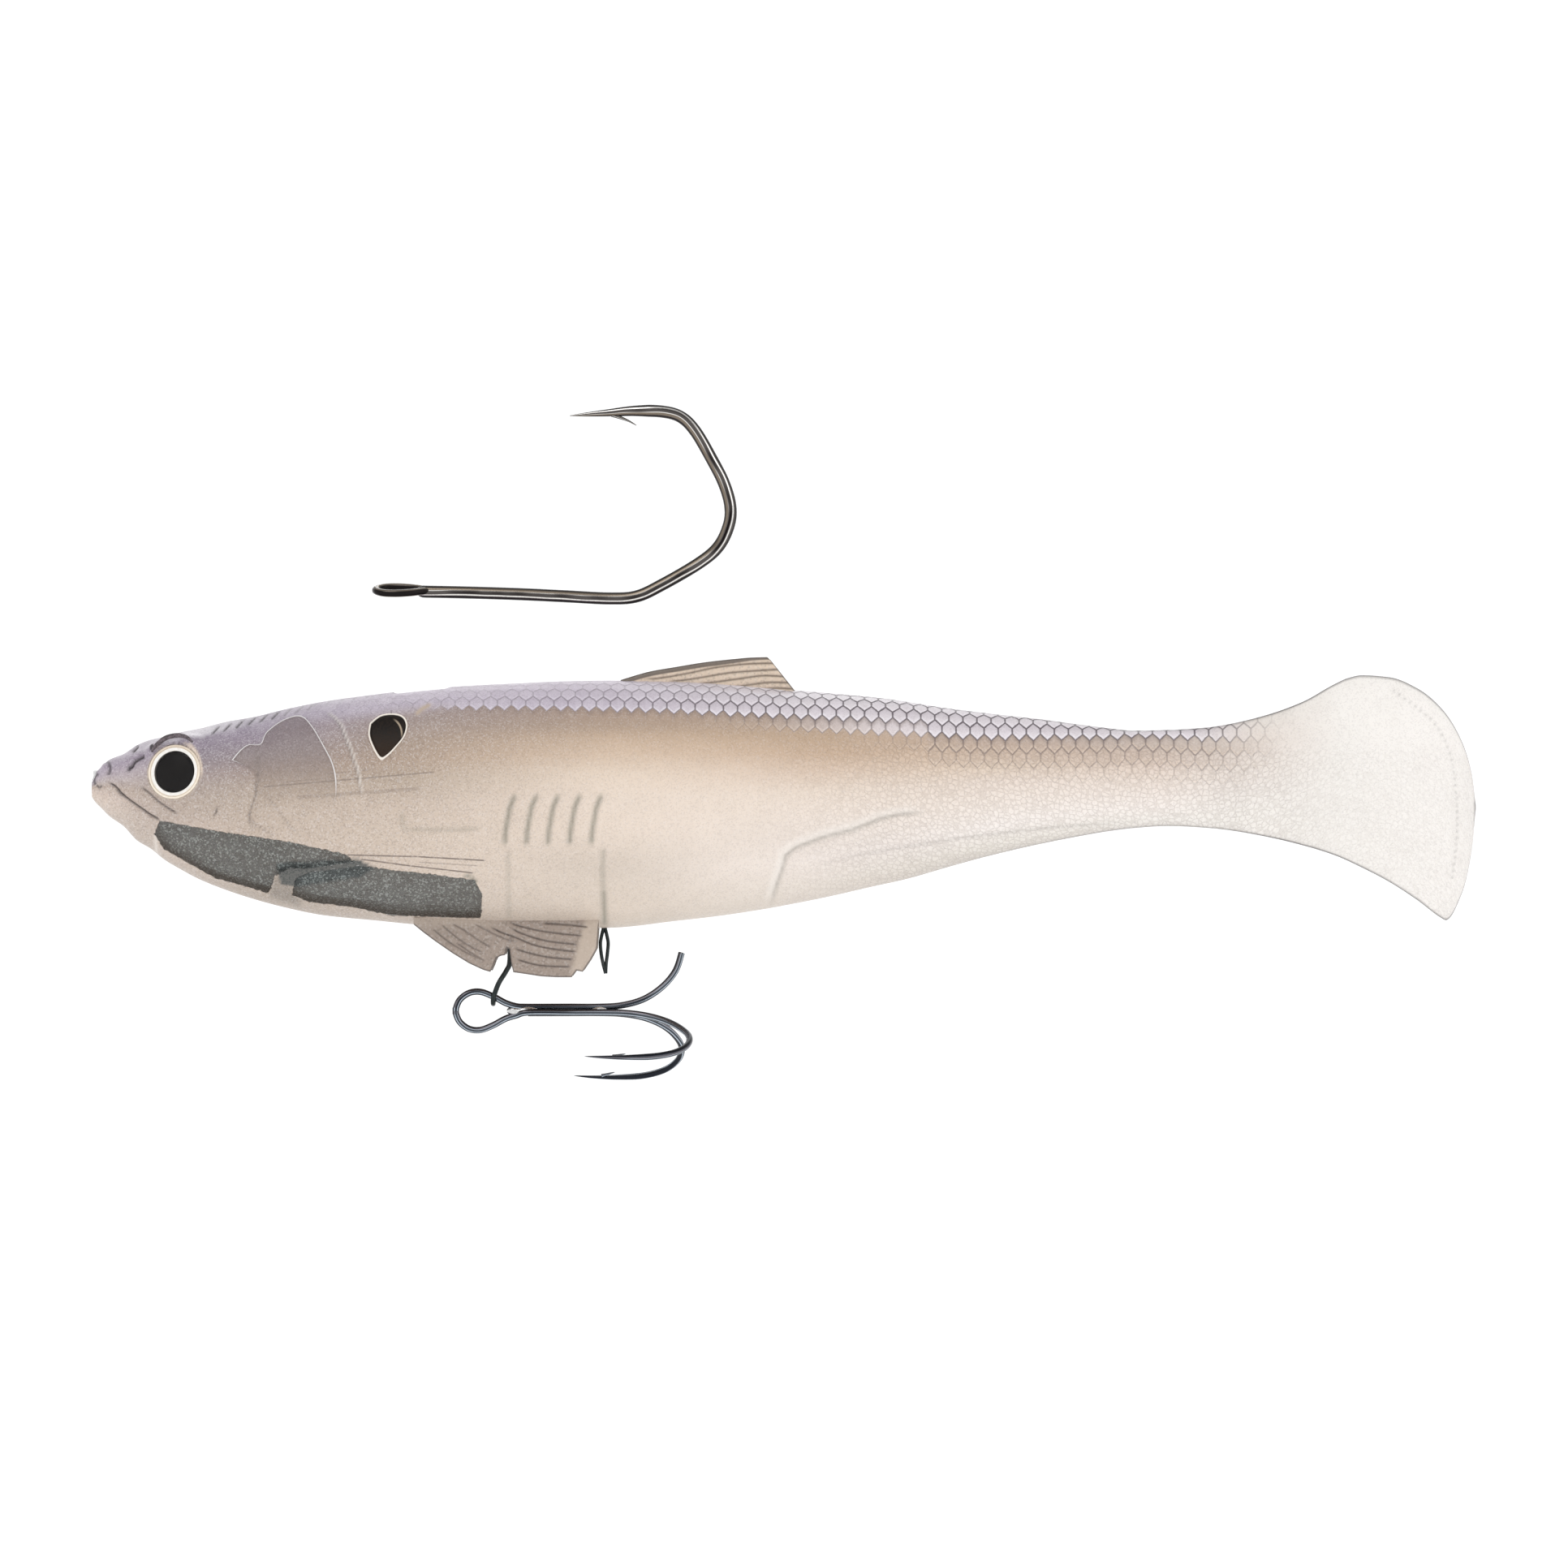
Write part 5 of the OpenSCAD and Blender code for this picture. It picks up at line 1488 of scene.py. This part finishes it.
def spot_material():
    g = Nodes("spot_dark")
    lx, ly, lz = g.xyz(g.attr("spotloc", "Vector"))
    k = g.attr("ring")
    n = g.noise(g.attr("spotloc", "Vector"), 2.5, 4.0)
    # inner dark shape is offset, which leaves a lighter arc at the rear upper edge
    qx, qy = g.math("ADD", lx, 0.42), g.math("ADD", ly, -0.25)
    r = g.math("SQRT", g.math("ADD", g.math("MULTIPLY", qx, qx), g.math("MULTIPLY", g.math("MULTIPLY", qy, qy), 0.62)))
    arc = g.math("MULTIPLY", g.ramp(r, 2.35, 2.5, 0.0, 1.0), g.ramp(r, 2.55, 2.75, 1.0, 0.0))
    arc = g.math("MULTIPLY", arc, g.math("MULTIPLY", g.ramp(lx, 0.6, 1.6, 0.0, 1.0), g.ramp(ly, 0.9, -0.4, 0.0, 1.0)))
    col = g.mix(g.ramp(n, 0.35, 0.7, 0.0, 0.7), lin4((22, 17, 14)), lin4((38, 29, 23)))
    col = g.mix(g.ramp(ly, -1.0, 3.6, 0.0, 0.5), col, lin4((60, 43, 29)))
    col = g.mix(g.math("MULTIPLY", arc, 0.75), col, lin4((190, 172, 150)))
    rimk = g.math("MULTIPLY", g.ramp(k, 0.90, 0.935, 0.0, 1.0), 1.0)
    col = g.mix(rimk, col, lin4((238, 230, 220)))
    g.set(Base_Color=col, Roughness=g.ramp(n, 0.3, 0.7, 0.30, 0.45), Normal=g.bump(n, 0.3, 0.00006))
    g.bsdf.inputs["Specular IOR Level"].default_value = 0.12
    return g.mat


spot_mat = spot_material()
rings = [0.15, 0.3, 0.45, 0.6, 0.7, 0.78, 0.84, 0.88, 0.905, 0.925, 0.945, 0.965, 0.985, 1.0, 1.015]


def spot_h(k):
    return float(np.interp(k, [0, 0.84, 0.9, 0.935, 0.96, 0.985, 1.0, 1.015],
                           [-0.20, -0.22, -0.14, 0.02, 0.09, 0.06, -0.05, -0.35]))


for side, tag in ((-1, "left"), (1, "right")):
    pts, hs, ks, f = patch(SPOT, (0.1, -0.6), rings, spot_h)
    l3 = on_skin(pts[:, 0], pts[:, 1], SC, SM)
    l3[:, 2] += hs
    n = len(l3)
    back = l3.copy()
    back[:, 2] = l3[:, 2] - 0.25 * (ks < 1.01) - 0.05
    nb = len(SPOT)
    last = 1 + (len(rings) - 1) * nb
    faces2 = list(f) + [tuple(n + i for i in reversed(g2)) for g2 in f]
    faces2 += [(last + j, n + last + j, n + last + (j + 1) % nb, last + (j + 1) % nb) for j in range(nb)]
    v = np.vstack([l3, back])
    ob = add_mesh("shoulder_mark_" + tag, to_part(v, SC, SM, side), faces2,
                  {"spotloc": v, "ring": np.concatenate([ks, ks])})
    fix_normals(ob)
    ob.data.materials.append(spot_mat)
    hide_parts("shoulder_spot_" + tag)
    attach(ob, "trunk")

# ---- gill plates -----------------------------------------------------------

GILL = [(20.1, 2.6), (21.2, 3.9), (22.4, 4.75), (24.2, 4.9), (25.1, 6.6), (27.4, 8.3), (29.9, 8.9), (31.7, 7.4),
        (33.7, 4.2), (34.8, 2), (35.3, -0.4), (35.2, -3.2), (34.2, -5.6), (32, -7.4), (28, -8.2),
        (24.6, -7.6), (23.5, -5.2), (23.9, -2), (23.2, 1)]
gl = catmull(GILL + GILL[:1], 12)[:-1]


def gill_material():
    g = Nodes("gill_film")
    x, y, z = g.xyz(g.attr("rest", "Vector"))
    k = g.attr("ring")
    n = g.noise(g.attr("rest", "Vector"), 1.2, 3.0)
    fl = g.voronoi(g.attr("rest", "Vector"), 5.6, "F1", "Color")
    fr, fg2, fb2 = g.xyz(fl)
    where = g.math("MAXIMUM", g.ramp(z, 1.6, 2.6), g.math("MULTIPLY", g.ramp(x, 29.0, 31.0), g.ramp(z, -5.0, 0.5)))
    rim = g.math("MULTIPLY", g.ramp(k, 0.962, 0.980, 0.0, 0.9), where)
    col = g.mix(g.ramp(z, -4.0, 6.0, 0.0, 1.0), lin4((190, 174, 159)), lin4((150, 136, 136)))
    col = g.mix(g.ramp(fr, 0.55, 1.0, 0.0, 0.34), col, lin4((90, 78, 78)))
    col = g.mix(g.ramp(fg2, 0.62, 1.0, 0.0, 0.22), col, lin4((226, 218, 222)))
    col = g.mix(rim, col, lin4((240, 238, 238)))
    body = g.ramp(z, -6.0, 4.0, 0.0, 0.55)
    a = g.math("MAXIMUM", g.math("MULTIPLY", body, g.ramp(n, 0.2, 0.8, 0.8, 1.0)), rim)
    g.set(Base_Color=col, Roughness=0.30, Alpha=a, Normal=g.bump(n, 0.2, 0.0001))
    return g.mat


gill_mat = gill_material()
grings = [0.1, 0.22, 0.34, 0.46, 0.58, 0.68, 0.77, 0.84, 0.89, 0.925, 0.945, 0.958, 0.97, 0.982, 0.992, 1.0]


def gill_h(k):
    return float(np.interp(k, [0, 0.8, 0.945, 0.965, 0.98, 0.992, 1.0], [0.16, 0.15, 0.12, 0.24, 0.28, 0.2, 0.02]))


for side, tag in ((-1, "left"), (1, "right")):
    pts, hs, ks, f = patch(gl, (29.0, 0.3), grings, gill_h)
    x, z = pts[:, 0], pts[:, 1]
    e = 0.05
    y = flank_y(x, z)
    nx = -(flank_y(x + e, z) - flank_y(x - e, z)) / (2 * e)
    nz = -(flank_y(x, z + e) - flank_y(x, z - e)) / (2 * e)
    nn = np.stack([nx, np.ones_like(nx), nz], axis=1)
    nn /= np.linalg.norm(nn, axis=1)[:, None]
    top = np.stack([x, y, z], axis=1) + nn * (hs + 0.03)[:, None]
    bot = np.stack([x, y, z], axis=1) - nn * 0.05
    v = np.vstack([top, bot])
    n = len(top)
    nb = len(gl)
    last = 1 + (len(grings) - 1) * nb
    faces2 = list(f) + [tuple(n + i for i in reversed(g2)) for g2 in f]
    faces2 += [(last + j, n + last + j, n + last + (j + 1) % nb, last + (j + 1) % nb) for j in range(nb)]
    if side < 0:
        v = v * np.array([1, -1, 1])
    ob = add_mesh("gill_cover_" + tag, v, faces2, {"rest": v, "ring": np.concatenate([ks, ks])})
    fix_normals(ob)
    ob.data.materials.append(gill_mat)
    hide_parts("gill_plate_" + tag)
    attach(ob, "trunk")

# ---- fins ------------------------------------------------------------------

def fin_material(name, film, rib, edge_c, opa):
    g = Nodes(name)
    rest = g.attr("rest", "Vector")
    ray, band, rim = g.xyz(g.attr("finmarks", "Vector"))
    n = g.noise(rest, 1.6, 3.0)
    fl = g.voronoi(rest, 3.8, "F1", "Color")
    fr, fg2, fb2 = g.xyz(fl)
    col = g.mix(g.ramp(n, 0.35, 0.7, 0.0, 0.35), lin4(film), lin4(tuple(c * 0.90 for c in film)))
    col = g.mix(g.ramp(fr, 0.6, 1.0, 0.0, 0.35), col, lin4(tuple(c * 0.62 for c in film)))
    col = g.mix(g.ramp(fg2, 0.66, 1.0, 0.0, 0.14), col, (0.85, 0.82, 0.80, 1))
    col = g.mix(band, col, lin4(edge_c))
    col = g.mix(g.math("MULTIPLY", ray, 0.88), col, lin4(rib))
    col = g.mix(g.math("MULTIPLY", rim, 0.85), col, lin4((70, 62, 60)))
    a = g.math("MAXIMUM", g.math("MAXIMUM", g.math("MULTIPLY", ray, 0.98), band), opa)
    a = g.math("MAXIMUM", a, rim)
    h = g.math("ADD", g.math("MULTIPLY", ray, -0.5), g.math("MULTIPLY", n, 0.3))
    g.set(Base_Color=col, Roughness=g.ramp(fb2, 0.0, 1.0, 0.30, 0.48), Alpha=a, Normal=g.bump(h, 0.5, 0.0001))
    return g.mat


def sheet_solid(name, mid_pts, normals, thick, attrs):
    """Closed thin solid about a grid of middle points."""
    nu, nv, _ = mid_pts.shape
    a = mid_pts + normals * thick[..., None] / 2
    b = mid_pts - normals * thick[..., None] / 2
    v = np.vstack([a.reshape(-1, 3), b.reshape(-1, 3)])
    n = nu * nv
    f = []
    for i in range(nu - 1):
        for j in range(nv - 1):
            q = (i * nv + j, (i + 1) * nv + j, (i + 1) * nv + j + 1, i * nv + j + 1)
            f.append(q)
            f.append(tuple(n + k for k in reversed(q)))
    for i in range(nu - 1):
        for j in (0, nv - 1):
            p, q = i * nv + j, (i + 1) * nv + j
            f.append((p, n + p, n + q, q) if j else (q, n + q, n + p, p))
    for j in range(nv - 1):
        for i in (0, nu - 1):
            p, q = i * nv + j, i * nv + j + 1
            f.append((q, n + q, n + p, p) if i else (p, n + p, n + q, q))
    at = {k: np.concatenate([w.reshape(n, -1), w.reshape(n, -1)]).squeeze() for k, w in attrs.items()}
    at["rest"] = v.copy()
    v2, f2, at2, _ = weld(v, f, at, 1e-3)
    ob = add_mesh(name, v2, f2, at2)
    fix_normals(ob)
    return ob


dorsal_mat = fin_material("dorsal_film", (222, 202, 182), (86, 72, 58), (98, 88, 80), 0.90)
pelvic_mat = fin_material("pelvic_film", (158, 143, 132), (62, 50, 45), (204, 188, 172), 0.94)

top_line = pchip([(75.9, 14.2), (78, 14.85), (80, 15.4), (84, 16.1), (88, 16.75), (92, 17.2), (95, 17.45), (97.0, 17.5)])
for side, tag in ((-1, "left"), (1, "right")):
    nu, nv = 210, 44
    s = np.linspace(0, 1, nu)[:, None] * np.ones((1, nv))
    t = np.linspace(0, 1, nv)[None, :] * np.ones((nu, 1))
    xb = 75.9 + s * (101.35 - 75.9)
    xt = 75.9 + s * (97.55 - 75.9)
    zb = BACK(xb) - 0.45
    zt2 = top_line(xt) - 0.45 * smooth(97.0, 97.6, xt)
    zt2 = np.maximum(zt2, zb + 0.05)
    xx = xb * (1 - t) + xt * t
    zz = zb * (1 - t) + zt2 * t
    rays = np.zeros_like(s)
    for line in ([(78.9, 14.4), (81.2, 14.4), (85.4, 15.1), (89.7, 16.0), (94.2, 16.5), (98.0, 16.6)],
                 [(82.5, 13.9), (85.4, 14.2), (87.9, 14.6), (91.5, 15.2), (95.1, 15.5), (98.6, 15.7)],
                 [(86.4, 13.5), (89.7, 13.9), (93.3, 14.4), (96.3, 14.8), (99.3, 14.7)],
                 [(90.6, 13.0), (93.3, 13.3), (96.9, 13.8), (100.2, 13.8)],
                 [(96.0, 12.8), (98.3, 13.0), (100.5, 12.9)]):
        d, q = seg_dist(xx, zz, catmull(line, 6)[:, :2])
        rays = np.maximum(rays, np.exp(-(d / 0.16) ** 2) * smooth(0, 0.10, q) * (0.8 + 0.2 * q))
    height = np.maximum(zt2 - zb, 0.3)
    band_w = 0.66 * (1 - 0.40 * smooth(0.6, 0.98, s))
    band = smooth(band_w + 0.08, band_w - 0.10, (1 - t) * height) * 0.92
    rimd = (1 - s) * 24
    rim = smooth(0.42, 0.12, rimd) * 0.9
    rim = np.maximum(rim, smooth(0.16, 0.04, (1 - t) * height) * 0.8)
    thick = (0.78 - 0.30 * t) * np.sqrt(np.clip(np.minimum((1 - t) * height, rimd) / 0.35, 0.02, 1))
    thick = thick * np.sqrt(np.clip(s * 25 / 0.8, 0.02, 1))
    thick = thick * (1 - 0.22 * rays) + 0.10 * band * smooth(0, 0.2, (1 - t) * height)
    wave = 0.0
    mp = np.stack([xx, np.full_like(xx, side * 1.65), zz], axis=2)
    nm = np.zeros_like(mp)
    nm[..., 1] = 1
    ob = sheet_solid("fin_dorsal_" + tag, mp, nm, thick, {"finmarks": np.stack([rays, band, rim], axis=2)})
    ob.data.materials.append(dorsal_mat)
    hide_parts("dorsal_fin_" + tag)
    z0 = 14.0
    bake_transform(ob)

edge_pts = [(46.1, -0.2), (47.5, -1.4), (49.3, -2.8), (51.7, -4.5), (54.1, -6.0), (56.2, -7.0), (57.2, -7.3),
            (57.6, -6.4), (57.8, -5.8), (58.1, -5.2), (58.7, -4.9), (59.3, -4.8), (59.5, -3.7), (59.9, -3.9),
            (60.2, -6.1), (60.5, -7.4), (62.5, -7.7), (64.5, -8.0), (66.6, -8.1), (68.9, -8.1), (69.6, -7.1),
            (70.5, -7.3), (71.6, -5.6), (72.5, -3.9), (72.6, -2.7), (72.8, -0.1)]
FRONT_RAYS = ([(48.7, -0.8), (51.1, -2.8), (53.8, -4.5), (56.2, -5.6)],
              [(49.9, -0.1), (52.3, -2.2), (54.4, -3.6), (56.2, -4.5)],
              [(51.4, 0.0), (53.5, -1.2), (55.6, -2.7), (57.4, -3.7)],
              [(52.3, -3.0), (54.4, -4.5), (56.5, -5.8)],
              [(54.7, -0.1), (57.1, -1.4), (59.5, -2.5), (61.0, -2.8)])
REAR_RAYS = ([(64.5, -0.1), (68.1, -0.3), (71.4, -0.7)],
             [(59.9, 0.5), (60.7, -0.3), (64.2, -1.2), (67.8, -1.7), (70.7, -2.0)],
             [(59.9, -0.6), (61.6, -1.6), (65.1, -2.7), (69.9, -3.3)],
             [(56.8, -0.4), (58.6, -1.4), (60.7, -2.2), (63.6, -3.4), (66.6, -4.0), (69.9, -4.4)],
             [(60.4, -3.8), (62.5, -4.5), (65.7, -5.2), (69.3, -5.5)],
             [(60.7, -5.4), (62.8, -6.1), (65.1, -6.5), (68.9, -6.6)])
ex, ez = np.array(edge_pts).T
for side, tag in ((-1, "left"), (1, "right")):
    nu, nv = 330, 62
    xs = np.unique(np.concatenate([np.linspace(46.1, 72.8, nu), ex]))
    nu = len(xs)
    ze = np.interp(xs, ex, ez)
    x2 = xs[:, None] * np.ones((1, nv))
    t = np.linspace(0, 1, nv)[None, :] ** 0.9 * np.ones((nu, 1))
    root = 0.75
    lz = root + (ze[:, None] - root) * t
    rays = np.zeros_like(x2)
    for line in FRONT_RAYS + REAR_RAYS:
        d, q = seg_dist(x2, lz, catmull(line, 6)[:, :2])
        amt = 0.62 if line in FRONT_RAYS else 1.0
        rays = np.maximum(rays, amt * np.exp(-(d / 0.14) ** 2) * smooth(0, 0.12, q) * smooth(0, 0.08, 1 - q))
    de, _ = seg_dist(x2, lz, edge_pts)
    rim = smooth(0.24, 0.06, de) * 0.85 * smooth(0.3, -0.4, lz)
    fold = 0.60 * smooth(69.2, 70.2, x2 - 0.25 * (lz + 4)) + 0.30 * smooth(-1.4, 0.2, lz) * smooth(61, 56, x2)
    thick = 0.72 * np.sqrt(np.clip(de / 0.4, 0.03, 1)) * (1 - 0.24 * rays) * (1 - 0.35 * t)
    cs, sn = math.cos(math.radians(18)), math.sin(math.radians(18))
    ly = 0.10 * np.sin((x2 - 46) * 0.5) * t
    py = 3.6 + ly * cs - lz * sn
    pz = -20.9 + ly * sn + lz * cs
    mp = np.stack([x2, side * py, pz], axis=2)
    nm = np.zeros_like(mp)
    nm[..., 1], nm[..., 2] = side * cs, sn
    ob = sheet_solid("fin_pelvic_" + tag, mp, nm, thick, {"finmarks": np.stack([rays, fold, rim], axis=2)})
    ob.data.materials.append(pelvic_mat)
    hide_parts("pelvic_fin_" + tag)
    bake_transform(ob)

# ---- kept CAD pieces: weights, plate, line tube ------------------------------

def weight_material():
    g = Nodes("weight_glitter")
    tc = g.nt.nodes.new("ShaderNodeTexCoord").outputs["Object"]
    fl = g.voronoi(tc, 4300.0, "F1", "Color")
    fr, fg2, fb2 = g.xyz(fl)
    n = g.noise(tc, 420.0, 4.0)
    col = g.mix(g.ramp(n, 0.35, 0.65, 0.0, 0.5), lin4((78, 84, 84)), lin4((54, 60, 60)))
    col = g.mix(g.ramp(fr, 0.5, 1.0, 0.0, 0.55), col, lin4((36, 38, 38)))
    col = g.mix(g.ramp(fg2, 0.6, 1.0, 0.0, 0.62), col, lin4((160, 168, 166)))
    g.set(Base_Color=col, Roughness=g.ramp(fb2, 0.0, 1.0, 0.30, 0.60),
          Metallic=0.25, Normal=g.bump(g.math("ADD", fr, n), 0.4, 0.00012))
    return g.mat


def plate_material():
    g = Nodes("plate_pale")
    tc = g.nt.nodes.new("ShaderNodeTexCoord").outputs["Object"]
    n = g.noise(tc, 500.0, 3.0)
    col = g.mix(g.ramp(n, 0.35, 0.7, 0.0, 0.6), lin4((206, 196, 184)), lin4((184, 172, 160)))
    g.set(Base_Color=col, Roughness=g.ramp(n, 0.3, 0.7, 0.35, 0.5), Normal=g.bump(n, 0.2, 0.0001))
    return g.mat


tube_mat = clear_material("tube_clear", 0.55, 0.12, (0.80, 0.80, 0.80))
wm, pm = weight_material(), plate_material()
for name, mat, slot in (("throat_weight", wm, "weight_grey"), ("belly_weight", wm, "weight_grey"),
                        ("weight_plate", pm, "plate_pale"), ("line_tube", tube_mat, "tube_clear")):
    ob = nodes[name]
    ob.data.materials.clear()
    ob.data.materials.append(mat)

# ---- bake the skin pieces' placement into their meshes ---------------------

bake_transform(skin_a)
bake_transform(skin_b)
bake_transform(skin_c)
